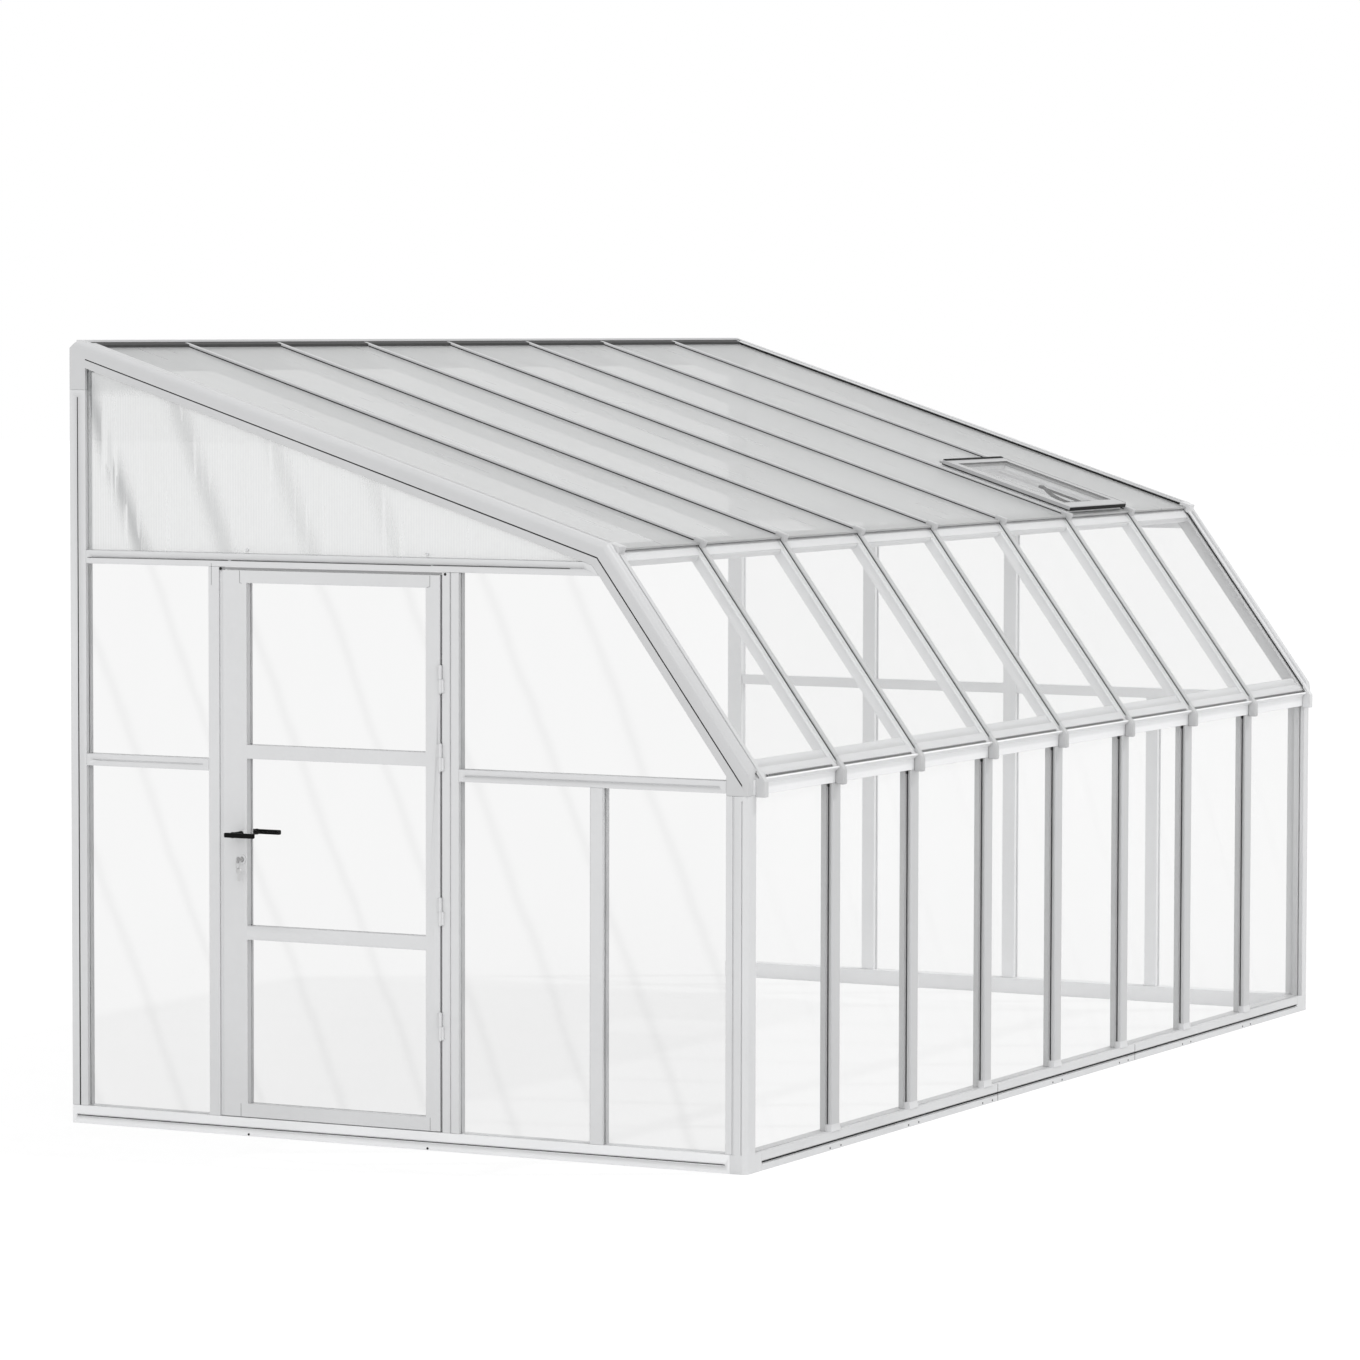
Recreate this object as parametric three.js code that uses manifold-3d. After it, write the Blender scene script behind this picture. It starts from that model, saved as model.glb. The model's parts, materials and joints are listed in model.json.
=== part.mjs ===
import * as THREE from "three";
import { mergeVertices } from "three/addons/utils/BufferGeometryUtils.js";
import Module from "manifold-3d";

// A lean-to greenhouse in millimetres.
// X runs along the house wall from the door gable, Y from the long front to the wall, and Z up from the floor.

// Whole house
const bayPitch = 610;
const bayCount = 8;
const endMargin = 43.5; // outer face of a gable to the middle line of its verge bar
const wallDepth = 2549;
const kneeDepth = 518; // where the steep panes meet the roof, measured on their outer surface
const kneeHeight = 1987.5;
const roofPitch = 17.82; // degrees
const steepPitch = 53.8; // degrees
const fit = 0.3; // clearance between pieces that touch

// Glazing
const paneThickness = 3;
const sheetThickness = 6;
const edgeHold = 8; // how far a pane's edge sits inside its frame
const notchHold = 15; // how far a frame member is solid beyond the end of a pane's slit
const notchWall = 4;

// Common frame profile
const memberFace = 62;
const memberDepth = 43;
const capThickness = 12.5;
const slotWidth = 11;
const neckInset = 13;
const faceChamfer = 3;
const grooveWidth = 4;
const grooveDepth = 4;
const grooveEndGap = 24;

// Base
const baseHeight = 61;
const baseWidth = 60;
const baseSeamHeight = 22;
const baseSeamWidth = 10;
const baseSeamDepth = 6;
const baseSeamEndGap = 18;
const baseJointBayShares = [3.143, 5.172]; // of a bay pitch from the near verge bar's middle line
const footLength = 109;
const footWidth = 60;

// Front corner posts
const cornerFrontFace = 63;
const cornerGableFace = 77;
const cornerRadius = 20;
const cornerSlotDepth = 51; // from the front to the dark slot on the gable side

// Gable members
const hingePostStart = 1050;
const lockPostWidth = 41;
const doorWidth = 828;
const hingeGap = 8;
const lockGap = 15;
const shortPostWidth = 50;
const nearShortPostShare = 0.213; // of the depth of the house
const farPostWidth = 54;
const farPostShares = [0.7472, 0.5008];
const farShortPostShare = 0.257;
const crossbarHeight = 45;
const crossbarDrop = 47.5; // knee to the top of the crossbar
const midRailHeight = 40;
const midRailLift = 7; // above the underside of the eave rail
const farRailInset = 6;
const wallCapHeight = 167;
const wallBevelRun = 31;
const wallBevelDrop = 27;

// Eave, knee and ridge rails
const eaveRailDrop = 72; // pane surface above the front to the underside of the eave rail
const paneToeReach = 12;
const toeThickness = 7.3;
const toeRise = 1;
const lipLength = 48;
const lipSink = 1.4;
const kneeRailFront = 55;
const kneeRailBack = 40;
const kneeRailThickness = 27.4;
const ridgeRailDepth = 44;
const ridgeRailHeight = 110;
const sealWidth = 27;
const sealThickness = 9.7;

// Glazing bars
const capWidth = 24;
const capRise = 10;
const flangeDepth = 12.3; // pane surface to the inner face of a bar's flange
const stemDepth = 50;
const stemWidth = 20;
const nubReach = 32;
const nubWidth = 26;
const nubDrop = 6;
const capStop = 9; // a bar's cap ends this far before the ridge rail
const sheetStop = 21;
const kneeNubReach = 36;
const kneeNubBack = 8;
const kneeNubRise = 13;
const kneeNubDepth = 19;
const sheetOverhang = 20;
const paneHeadGap = 16;

// Verge bars
const vergeRise = 13;
const vergeDepth = 68;
const vergeRadius = 24;
const vergeGrooveDepth = 40;
const vergePaneStart = 50;
const vergeStripStart = 58;
const vergeStripEnd = 80;
const vergePlateRise = 5;
const vergeNubEnd = 85;

// Door
const doorLift = 3;
const doorTopGap = 10;
const doorThickness = 40;
const lockStile = 92;
const hingeStile = 54;
const doorTopRail = 42;
const doorBottomRail = 45;
const doorRailHeight = 46;
const doorRailShares = [0.3257, 0.6568]; // of the door's height, to the underside of each rail
const doorPaneDepth = 26;

// Hinges
const hingeHeightShares = [0.19, 0.397, 0.674, 0.814]; // of the door's height, to the middle of each hinge
const hingeHeight = 86;
const knuckleRadius = 6.5;
const hingeStandOff = 6;
const hingePinRadius = 3.5;
const hingePinPlay = 0.4;
const hingeArm = 9;
const hingeArmThickness = 3;

// Handle, latch and lock
const handleHeight = 1009;
const handleBackset = 71; // lock edge of the door to the spindle
const handleStandOff = 56;
const leverThickness = 16;
const leverReach = 87;
const leverHeel = 26;
const neckRadius = 8;
const neckPlay = 0.8;
const spindleSize = 8;
const roseRadius = 17;
const roseThickness = 3;
const boltWidth = 12;
const latchHeight = 16;
const latchLength = 35;
const latchThrow = 11;
const boltStart = 14; // outer face of the door to the bolts
const lockHeight = 924;
const lockBackset = 72;
const cylinderRadius = 8.5;
const cylinderProud = 5;
const deadboltHeight = 18;
const deadboltLength = 28;
const deadboltSink = 2;
const deadboltThrow = 22;
const boltPlay = 0.4;
const strikePlay = 2;
const keyThickness = 2.4;
const keyBladeHeight = 7;
const keyBladeLength = 22;
const keyShank = 12;
const keyBowRadius = 11;

// Roof vent, in its own frame: run is measured up the slope from the knee, lift outward from the pane surface
const ventBay = 6;
const curbHalfWidth = 262;
const curbFoot = 16;
const curbHead = 536;
const curbBorder = 24;
const curbLedge = 6;
const curbLedgeRise = 8;
const curbRise = 11;
const lidHalfWidth = 273;
const lidFoot = -6;
const lidHead = 551;
const lidBorder = 45;
const lidUnderside = 12;
const lidTop = 30;
const lidPaneLift = 22;
const ventAxisReach = 9; // the hinge rod beyond the head of the lid
const ventAxisLift = 18;
const rodRadius = 5;
const rodPlay = 0.5;
const ventLugRadius = 8.2;
const ventLugWidth = 22;
const ventLugShares = [-0.8, 0, 0.8]; // of the lid's half width
const ventTongueShares = [-0.6, 0.6];
const ventTongueWidth = 60;
const stayPivotRun = 48;
const stayPivotLift = 16;
const stayLength = 380;
const stayWidth = 6;
const stayHeight = 8;
const stayPinRadius = 3;
const stayPinPlay = 0.4;
const cheekThickness = 4;
const cheekPlay = 1;

// One overrun serves every cut, and one weld reach every merge of vertices.
const overrun = 5;
const weldReach = 0.001;
const roundSides = 20;

// Derived lines
const overallLength = 2 * endMargin + bayCount * bayPitch;
const roofSlope = THREE.MathUtils.degToRad(roofPitch);
const steepSlope = THREE.MathUtils.degToRad(steepPitch);
const vergeHalf = endMargin;
const frontLine = kneeHeight - kneeDepth * Math.tan(steepSlope);
const eaveHeight = frontLine - eaveRailDrop;
const postFoot = baseHeight + fit;
const postHead = eaveHeight - fit;
const midRailFoot = eaveHeight + midRailLift;
const crossbarTop = kneeHeight - crossbarDrop;
const crossbarFoot = crossbarTop - crossbarHeight;
const doorFoot = baseHeight + doorLift;
const doorHeight = crossbarFoot - doorTopGap - doorFoot;
const hingePostEnd = hingePostStart + memberFace;
const doorHingeEdge = hingePostEnd + hingeGap;
const doorLockEdge = doorHingeEdge + doorWidth;
const lockPostStart = doorLockEdge + lockGap;
const lockPostEnd = lockPostStart + lockPostWidth;
const wallPostStart = wallDepth - memberFace;
const ridgeRailFace = wallDepth - ridgeRailDepth;
const ridgeHeight = roofHeight(wallDepth - wallBevelRun, vergeRise);
const slotMiddle = capThickness + slotWidth / 2;
const hingeAxisDepth = hingePostEnd + hingeGap / 2;
const spindleDepth = doorLockEdge - handleBackset;
const lockDepth = doorLockEdge - lockBackset;
const paneToe = (kneeDepth + paneToeReach) / Math.cos(steepSlope);
const sheetHead = (ridgeRailFace - sheetStop - kneeDepth) / Math.cos(roofSlope);
const ventMiddle = endMargin + (ventBay + 1 / 2) * bayPitch;

const wasm = await Module();
wasm.setup();

// Outline helpers. A point of the side view is (y, z), and lift is measured outward from the pane surface.

function roofHeight(depth, lift) {
  return kneeHeight + (depth - kneeDepth) * Math.tan(roofSlope) + lift / Math.cos(roofSlope);
}

function steepHeight(depth, lift) {
  return kneeHeight + (depth - kneeDepth) * Math.tan(steepSlope) + lift / Math.cos(steepSlope);
}

function steepDepth(height, lift) {
  return kneeDepth + (height - kneeHeight - lift / Math.cos(steepSlope)) / Math.tan(steepSlope);
}

function legPoint(slope, run, lift) {
  const y = kneeDepth + run * Math.cos(slope) - lift * Math.sin(slope);
  const z = kneeHeight + run * Math.sin(slope) + lift * Math.cos(slope);
  return [y, z];
}

function roofPoint(run, lift) {
  return legPoint(roofSlope, run, lift);
}

// On the steep leg the run is measured down from the knee.
function steepPoint(run, lift) {
  return legPoint(steepSlope, -run, lift);
}

// Where the two legs' surfaces of one lift meet.
function kneePoint(lift) {
  const half = (steepSlope - roofSlope) / 2;
  const middle = (steepSlope + roofSlope) / 2;
  const reach = lift / Math.cos(half);
  return [kneeDepth - reach * Math.sin(middle), kneeHeight + reach * Math.cos(middle)];
}

// Solid helpers

function solid(geometry) {
  const plain = geometry.clone();
  plain.deleteAttribute("normal");
  plain.deleteAttribute("uv");
  const merged = mergeVertices(plain, weldReach);
  const triVerts = new Uint32Array(merged.index.array);
  const vertProperties = new Float32Array(merged.attributes.position.array);
  return new wasm.Manifold(new wasm.Mesh({ numProp: 3, vertProperties, triVerts }));
}

function box(x0, x1, y0, y1, z0, z1) {
  const geometry = new THREE.BoxGeometry(x1 - x0, y1 - y0, z1 - z0);
  geometry.translate((x0 + x1) / 2, (y0 + y1) / 2, (z0 + z1) / 2);
  return geometry;
}

function block(x0, x1, y0, y1, z0, z1) {
  return solid(box(x0, x1, y0, y1, z0, z1));
}

// A block laid along a leg of the roof line, given by its runs and lifts.
function legBlock(slope, x0, x1, run0, run1, lift0, lift1) {
  const geometry = box(x0, x1, run0, run1, lift0, lift1);
  geometry.rotateX(slope);
  geometry.translate(0, kneeDepth, kneeHeight);
  return solid(geometry);
}

function roofBlock(x0, x1, run0, run1, lift0, lift1) {
  return legBlock(roofSlope, x0, x1, run0, run1, lift0, lift1);
}

function steepBlock(x0, x1, run0, run1, lift0, lift1) {
  return legBlock(steepSlope, x0, x1, -run1, -run0, lift0, lift1);
}

function outline(points) {
  return new THREE.Shape(points.map(([u, v]) => new THREE.Vector2(u, v)));
}

// An outline of (y, z) points drawn out along X.
function sidePrism(points, x0, x1) {
  const settings = { depth: x1 - x0, bevelEnabled: false };
  const geometry = new THREE.ExtrudeGeometry(outline(points), settings);
  const across = new THREE.Vector3(0, 1, 0);
  const up = new THREE.Vector3(0, 0, 1);
  const along = new THREE.Vector3(1, 0, 0);
  geometry.applyMatrix4(new THREE.Matrix4().makeBasis(across, up, along));
  geometry.translate(x0, 0, 0);
  return solid(geometry);
}

// A plan outline of (x, y) drawn up from z0 to z1.
function column(shape, z0, z1) {
  const settings = { depth: z1 - z0, bevelEnabled: false, curveSegments: roundSides / 4 };
  const geometry = new THREE.ExtrudeGeometry(shape, settings);
  geometry.translate(0, 0, z0);
  return geometry;
}

function rod(radius, from, to, axis) {
  const geometry = new THREE.CylinderGeometry(radius, radius, to - from, roundSides);
  geometry.translate(0, (from + to) / 2, 0);
  if (axis === "x") geometry.rotateZ(-Math.PI / 2);
  if (axis === "z") geometry.rotateX(Math.PI / 2);
  return solid(geometry);
}

// A section of (x, lift) points swept through stations, each of which places a lift in the side view.
function sweep(section, stations) {
  const count = section.length;
  const positions = [];
  for (const station of stations) {
    for (const [x, lift] of section) positions.push(x, ...station(lift));
  }
  const contour = section.map(([x, lift]) => new THREE.Vector2(x, lift));
  const faces = THREE.ShapeUtils.triangulateShape(contour, []);
  const last = (stations.length - 1) * count;
  const index = [];
  for (const [a, b, c] of faces) {
    index.push(a, b, c);
    index.push(last + c, last + b, last + a);
  }
  for (let ring = 0; ring < last; ring += count) {
    for (let i = 0; i < count; i += 1) {
      const next = (i + 1) % count;
      index.push(ring + i, ring + count + i, ring + count + next);
      index.push(ring + i, ring + count + next, ring + next);
    }
  }
  const geometry = new THREE.BufferGeometry();
  geometry.setAttribute("position", new THREE.Float32BufferAttribute(positions, 3));
  geometry.setIndex(index);
  return solid(geometry);
}

function rectangle(x0, x1, lift0, lift1) {
  return [[x0, lift0], [x1, lift0], [x1, lift1], [x0, lift1]];
}

// The line of a glazing bar, from a depth at the eave over the knee to a depth at the wall.
function barLine(eaveDepth, ridgeDepth) {
  return [
    (lift) => [eaveDepth, steepHeight(eaveDepth, lift)],
    (lift) => kneePoint(lift),
    (lift) => [ridgeDepth, roofHeight(ridgeDepth, lift)],
  ];
}

function joined(first, ...others) {
  return others.reduce((whole, piece) => whole.add(piece), first);
}

function cut(first, ...others) {
  return others.reduce((whole, piece) => whole.subtract(piece), first);
}

function barMiddle(index) {
  return endMargin + index * bayPitch;
}

// Glazing. Each sheet is also made a little larger, to cut the slots that hold it.

function gablePanel(points, thickness, grow) {
  return sidePrism(points, slotMiddle - thickness / 2 - grow, slotMiddle + thickness / 2 + grow);
}

function throughSlot(y0, y1, z0, z1) {
  return block(-overrun, memberDepth + overrun, y0, y1, z0, z1);
}

// The notch that a post's neck fills at the foot or head of the sheet that passes it.
function postNotch(middle, width, z0, z1, grow) {
  const half = width / 2 - neckInset - notchWall - grow;
  return throughSlot(middle - half, middle + half, z0, z1);
}

function footNotch(middle, width, grow) {
  return postNotch(middle, width, -overrun, postFoot + notchHold - grow, grow);
}

function headNotch(middle, width, grow) {
  return postNotch(middle, width, crossbarFoot - notchHold + grow, crossbarTop, grow);
}

// The notch that a rail's end fills at the side of the sheet that passes it.
function railNotch(y0, y1, grow) {
  const z0 = midRailFoot + notchWall + grow;
  const z1 = midRailFoot + midRailHeight - notchWall - grow;
  return throughSlot(y0 + grow, y1 - grow, z0, z1);
}

function nearPanesWallSide(grow) {
  const y0 = lockPostEnd - edgeHold - grow;
  const y1 = wallPostStart + edgeHold + grow;
  const z0 = baseHeight - edgeHold - grow;
  const z1 = crossbarFoot + edgeHold + grow;
  const sheet = gablePanel([[y0, z0], [y1, z0], [y1, z1], [y0, z1]], paneThickness, grow);
  const lockNotch = railNotch(y0 - overrun, lockPostEnd + notchHold, grow);
  const wallNotch = railNotch(wallPostStart - notchHold, y1 + overrun, grow);
  return cut(sheet, lockNotch, wallNotch);
}

// The space under the line of a bar, at a given lift from the pane surface.
function underLine(lift, x0, x1) {
  return sidePrism([
    [0, 0],
    [wallDepth, 0],
    [wallDepth, roofHeight(wallDepth, lift)],
    kneePoint(lift),
    [0, steepHeight(0, lift)],
  ], x0, x1);
}

function underVerge(panel, grow) {
  return panel.intersect(underLine(edgeHold + grow - vergeDepth, -overrun, memberDepth + overrun));
}

// The sheet under the crossbar and the steep leg of a gable.
function slopedSheet(y1, grow) {
  const y0 = cornerGableFace - edgeHold - grow;
  const z0 = baseHeight - edgeHold - grow;
  const z1 = crossbarFoot + edgeHold + grow;
  const points = [[y0, z0], [y1, z0], [y1, z1], [y0, z1]];
  return underVerge(gablePanel(points, paneThickness, grow), grow);
}

function nearPanesFront(grow) {
  const y1 = hingePostStart + edgeHold + grow;
  const cornerNotch = railNotch(-overrun, cornerGableFace + notchHold, grow);
  const hingeNotch = railNotch(hingePostStart - notchHold, y1 + overrun, grow);
  const shortNotch = footNotch(wallDepth * nearShortPostShare, shortPostWidth, grow);
  return cut(slopedSheet(y1, grow), cornerNotch, hingeNotch, shortNotch);
}

function farPanes(grow) {
  const y1 = wallPostStart + edgeHold + grow;
  const cornerNotch = railNotch(-overrun, cornerGableFace + notchHold, grow);
  const wallNotch = railNotch(wallPostStart - notchHold, y1 + overrun, grow);
  const shortNotch = footNotch(wallDepth * farShortPostShare, shortPostWidth, grow);
  let sheet = cut(slopedSheet(y1, grow), cornerNotch, wallNotch, shortNotch);
  for (const share of farPostShares) {
    const middle = wallDepth * share;
    sheet = cut(sheet, footNotch(middle, farPostWidth, grow), headNotch(middle, farPostWidth, grow));
  }
  return sheet;
}

function gableSheet(grow) {
  const y1 = wallPostStart + edgeHold + grow;
  const z0 = crossbarTop - edgeHold - grow;
  const points = [[0, z0], [y1, z0], [y1, ridgeHeight], [0, ridgeHeight]];
  return underVerge(gablePanel(points, sheetThickness, grow), grow);
}

function frontSheet(x0, x1, middles, grow) {
  const y0 = slotMiddle - paneThickness / 2 - grow;
  const y1 = slotMiddle + paneThickness / 2 + grow;
  const z0 = baseHeight - edgeHold - grow;
  const z1 = eaveHeight + edgeHold + grow;
  const half = memberFace / 2 - neckInset - notchWall - grow;
  let sheet = block(x0, x1, y0, y1, z0, z1);
  for (const middle of middles) {
    const foot = block(middle - half, middle + half, -overrun, memberDepth, -overrun, postFoot + notchHold - grow);
    const head = block(middle - half, middle + half, -overrun, memberDepth, postHead - notchHold + grow, z1 + overrun);
    sheet = cut(sheet, foot, head);
  }
  return sheet;
}

function frontPanes(grow) {
  const middles = Array.from({ length: bayCount - 1 }, (_, i) => barMiddle(i + 1));
  const x0 = cornerFrontFace - edgeHold - grow;
  return frontSheet(x0, overallLength - x0, middles, grow);
}

function steepPanes(x0, x1, grow) {
  return steepBlock(x0, x1, paneHeadGap - grow, paneToe + grow, -paneThickness - grow, grow);
}

function roofSheet(x0, x1, grow) {
  return roofBlock(x0, x1, -sheetOverhang - grow, sheetHead + grow, -sheetThickness - grow, grow);
}

function ventHole() {
  const half = curbHalfWidth + fit;
  const foot = curbFoot - fit;
  const head = curbHead + fit;
  return roofBlock(ventMiddle - half, ventMiddle + half, foot, head, -sheetThickness - overrun, overrun);
}

// Base

function baseFront(x0, x1) {
  const beam = block(x0, x1, 0, baseWidth, 0, baseHeight);
  const seamEnd = baseSeamHeight + baseSeamWidth;
  const seam = block(x0 - overrun, x1 + overrun, -overrun, baseSeamDepth, baseSeamHeight, seamEnd);
  return cut(beam, seam, frontPanes(fit));
}

function baseEnd(sheets) {
  const y0 = footWidth + fit;
  const beam = block(0, baseWidth, y0, wallDepth, 0, baseHeight);
  const seamEnd = baseSeamHeight + baseSeamWidth;
  const seam = block(-overrun, baseSeamDepth, y0 + baseSeamEndGap, wallDepth - baseSeamEndGap, baseSeamHeight, seamEnd);
  return cut(beam, seam, ...sheets);
}

// Posts

// Half of a post's section from the middle of its outer face to the middle of its inner face, then mirrored.
function postShape(width) {
  const half = width / 2;
  const neck = half - neckInset;
  const right = [
    [half - faceChamfer, 0],
    [half, faceChamfer],
    [half, capThickness],
    [neck, capThickness],
    [neck, capThickness + slotWidth],
    [half, capThickness + slotWidth],
    [half, memberDepth],
  ];
  const left = right.map(([u, v]) => [-u, v]).reverse();
  return outline([...right, ...left]);
}

function frontPost() {
  const body = solid(column(postShape(memberFace), postFoot, postHead));
  return cut(body, frontSheet(-bayPitch / 2, bayPitch / 2, [0], fit));
}

// A post of a gable stands with its outer face towards -X.
function gablePost(middle, width, head, sheets) {
  const geometry = column(postShape(width), postFoot, head);
  geometry.rotateZ(-Math.PI / 2);
  geometry.translate(0, middle, 0);
  return cut(solid(geometry), ...sheets);
}

function plainPost(y0, y1, head) {
  return block(0, memberDepth, y0, y1, postFoot, head);
}

function upGroove(middle, z0, z1) {
  return block(-overrun, grooveDepth, middle - grooveWidth / 2, middle + grooveWidth / 2, z0, z1);
}

function roundedCorner(x1, y1) {
  const shape = new THREE.Shape();
  shape.moveTo(x1, 0);
  shape.lineTo(x1, y1);
  shape.lineTo(0, y1);
  shape.lineTo(0, cornerRadius);
  shape.absarc(cornerRadius, cornerRadius, cornerRadius, Math.PI, Math.PI * 3 / 2, false);
  return shape;
}

function cornerPost(panes) {
  const core = solid(column(roundedCorner(cornerFrontFace, memberDepth), 0, postHead));
  const strip = block(0, memberDepth, memberDepth - overrun, cornerGableFace, postFoot, postHead);
  const foot = solid(column(roundedCorner(footLength, footWidth), 0, baseHeight));
  const slot = upGroove(cornerSlotDepth, postFoot, postHead);
  const edge = upGroove(cornerRadius, postFoot, postHead - notchHold);
  return cut(joined(core, strip, foot), slot, edge, frontPanes(fit), panes);
}

function wallPost(sheets) {
  const head = ridgeHeight - wallCapHeight - fit;
  const middle = wallPostStart + memberFace / 2;
  const groove = upGroove(middle, postFoot, head - grooveEndGap);
  return cut(plainPost(wallPostStart, wallDepth, head), groove, ...sheets);
}

function lockSidePost() {
  const z0 = lockHeight - deadboltHeight / 2 - strikePlay;
  const z1 = lockHeight + deadboltHeight / 2 + strikePlay;
  const x0 = boltStart - strikePlay;
  const x1 = boltStart + boltWidth + strikePlay;
  const tip = doorLockEdge - deadboltSink + deadboltThrow;
  const pocket = block(x0, x1, lockPostStart - overrun, tip + strikePlay, z0, z1);
  return cut(plainPost(lockPostStart, lockPostEnd, crossbarFoot - fit), pocket, nearPanesWallSide(fit));
}

function hingeMiddles() {
  return hingeHeightShares.map((share) => doorFoot + share * doorHeight);
}

function knuckle(z0, z1) {
  return rod(knuckleRadius, z0, z1, "z").translate([-hingeStandOff, hingeAxisDepth, 0]);
}

function hingePin(z0, z1, radius) {
  return rod(radius, z0, z1, "z").translate([-hingeStandOff, hingeAxisDepth, 0]);
}

// The fixed half of each hinge: a knuckle, its pin and an arm on the face of the jamb.
function fixedHinge(middle) {
  const z0 = middle - hingeHeight / 2;
  const z1 = middle - fit;
  const y1 = hingeAxisDepth;
  const y0 = hingePostEnd - hingeArm;
  const arm = block(-hingeStandOff - hingeArmThickness / 2, fit, y0, hingePostEnd, z0, z1);
  const link = block(-hingeStandOff - hingeArmThickness / 2, -hingeStandOff + hingeArmThickness / 2, y0, y1, z0, z1);
  const pin = hingePin(z0, middle + hingeHeight / 2 - overrun, hingePinRadius);
  return joined(arm, link, knuckle(z0, z1), pin);
}

function hingeSidePost() {
  const seam = upGroove(hingePostStart + memberFace / 2, postFoot, crossbarFoot);
  const body = cut(plainPost(hingePostStart, hingePostEnd, crossbarFoot - fit), seam, nearPanesFront(fit));
  return joined(body, ...hingeMiddles().map(fixedHinge));
}

function farPost(share) {
  const rail = midRail(cornerGableFace, wallPostStart, farRailInset - fit, fit, []);
  return gablePost(wallDepth * share, farPostWidth, crossbarFoot - fit, [rail, farPanes(fit)]);
}

// Rails

function midRail(y0, y1, inset, grow, sheets) {
  const z0 = midRailFoot - grow;
  const z1 = midRailFoot + midRailHeight + grow;
  return cut(block(inset, memberDepth - inset, y0, y1, z0, z1), ...sheets);
}

function longGroove(y0, y1, height, inset) {
  const z0 = height - grooveWidth / 2;
  return block(-overrun, inset + grooveDepth, y0 + grooveEndGap, y1 - grooveEndGap, z0, z0 + grooveWidth);
}

function gableRail(y0, y1, inset, sheets) {
  const groove = longGroove(y0, y1, midRailFoot + midRailHeight / 2, inset);
  return midRail(y0 + fit, y1 - fit, inset, 0, [groove, ...sheets]);
}

function crossbar(sheets) {
  const lift = -vergeDepth - fit;
  const y1 = wallPostStart - fit;
  const beam = block(0, memberDepth, 0, y1, crossbarFoot, crossbarTop).intersect(underLine(lift, 0, memberDepth));
  const groove = longGroove(steepDepth(crossbarTop, lift), y1, crossbarFoot + crossbarHeight / 2, 0);
  return cut(beam, groove, ...sheets);
}

// The places along X where bars of a half width interrupt the lips of the eave and knee rails.
function barGaps(half) {
  const gaps = [[0, 2 * vergeHalf + fit]];
  for (let i = 1; i < bayCount; i += 1) {
    gaps.push([barMiddle(i) - half - fit, barMiddle(i) + half + fit]);
  }
  gaps.push([overallLength - 2 * vergeHalf - fit, overallLength]);
  return gaps;
}

function eaveRail() {
  const x0 = memberDepth + fit;
  const x1 = overallLength - x0;
  const top = -flangeDepth - fit;
  const toeEnd = paneToe + fit + toeThickness;
  const seat = -paneThickness - fit;
  const beam = sidePrism([
    [0, eaveHeight],
    [memberDepth, eaveHeight],
    [memberDepth, steepHeight(memberDepth, top)],
    [0, steepHeight(0, top)],
  ], x0, x1);
  const nose = steepPoint(toeEnd, top);
  const lip = sidePrism([
    [lipSink, nose[1] + nose[0]],
    steepPoint(toeEnd - lipLength, top - lipSink),
    steepPoint(toeEnd - lipLength, seat),
    steepPoint(paneToe + fit, seat),
    steepPoint(paneToe + fit, toeRise),
    steepPoint(toeEnd, toeRise),
    nose,
  ], x0, x1);
  const foot = eaveHeight - overrun;
  const flangeGaps = barGaps(memberFace / 2).map(([a, b]) => block(a, b, -fit - fit, memberDepth, foot, kneeHeight));
  const nubGaps = barGaps(nubWidth / 2).map(([a, b]) => block(a, b, -nubReach, 0, foot, kneeHeight));
  return cut(joined(cut(lip, ...flangeGaps, ...nubGaps), beam), frontPanes(fit));
}

function kneeBand(grow) {
  const top = -flangeDepth - fit + grow;
  const bottom = -flangeDepth - fit - kneeRailThickness - grow;
  return [
    steepPoint(kneeRailFront + grow, top),
    steepPoint(kneeRailFront + grow, bottom),
    kneePoint(bottom),
    roofPoint(kneeRailBack + grow, bottom),
    roofPoint(kneeRailBack + grow, top),
    kneePoint(top),
  ];
}

function kneeRail() {
  const x0 = memberDepth + fit;
  const x1 = overallLength - x0;
  const seat = -flangeDepth - fit - lipSink;
  const lip = sidePrism([
    steepPoint(kneeRailFront, -paneThickness - fit),
    steepPoint(kneeRailFront, seat),
    kneePoint(seat),
    roofPoint(kneeRailBack, seat),
    roofPoint(kneeRailBack, -sheetThickness - fit),
    roofPoint(0, -sheetThickness - fit),
    steepPoint(paneHeadGap, -paneThickness - fit),
  ], x0, x1);
  const gaps = barGaps(memberFace / 2).map(([a, b]) => block(a, b, 0, wallDepth, eaveHeight, ridgeHeight));
  return joined(sidePrism(kneeBand(0), x0, x1), cut(lip, ...gaps));
}

function ridgeRail() {
  const x0 = memberDepth + fit;
  return block(x0, overallLength - x0, ridgeRailFace, wallDepth, ridgeHeight - ridgeRailHeight, ridgeHeight);
}

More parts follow.
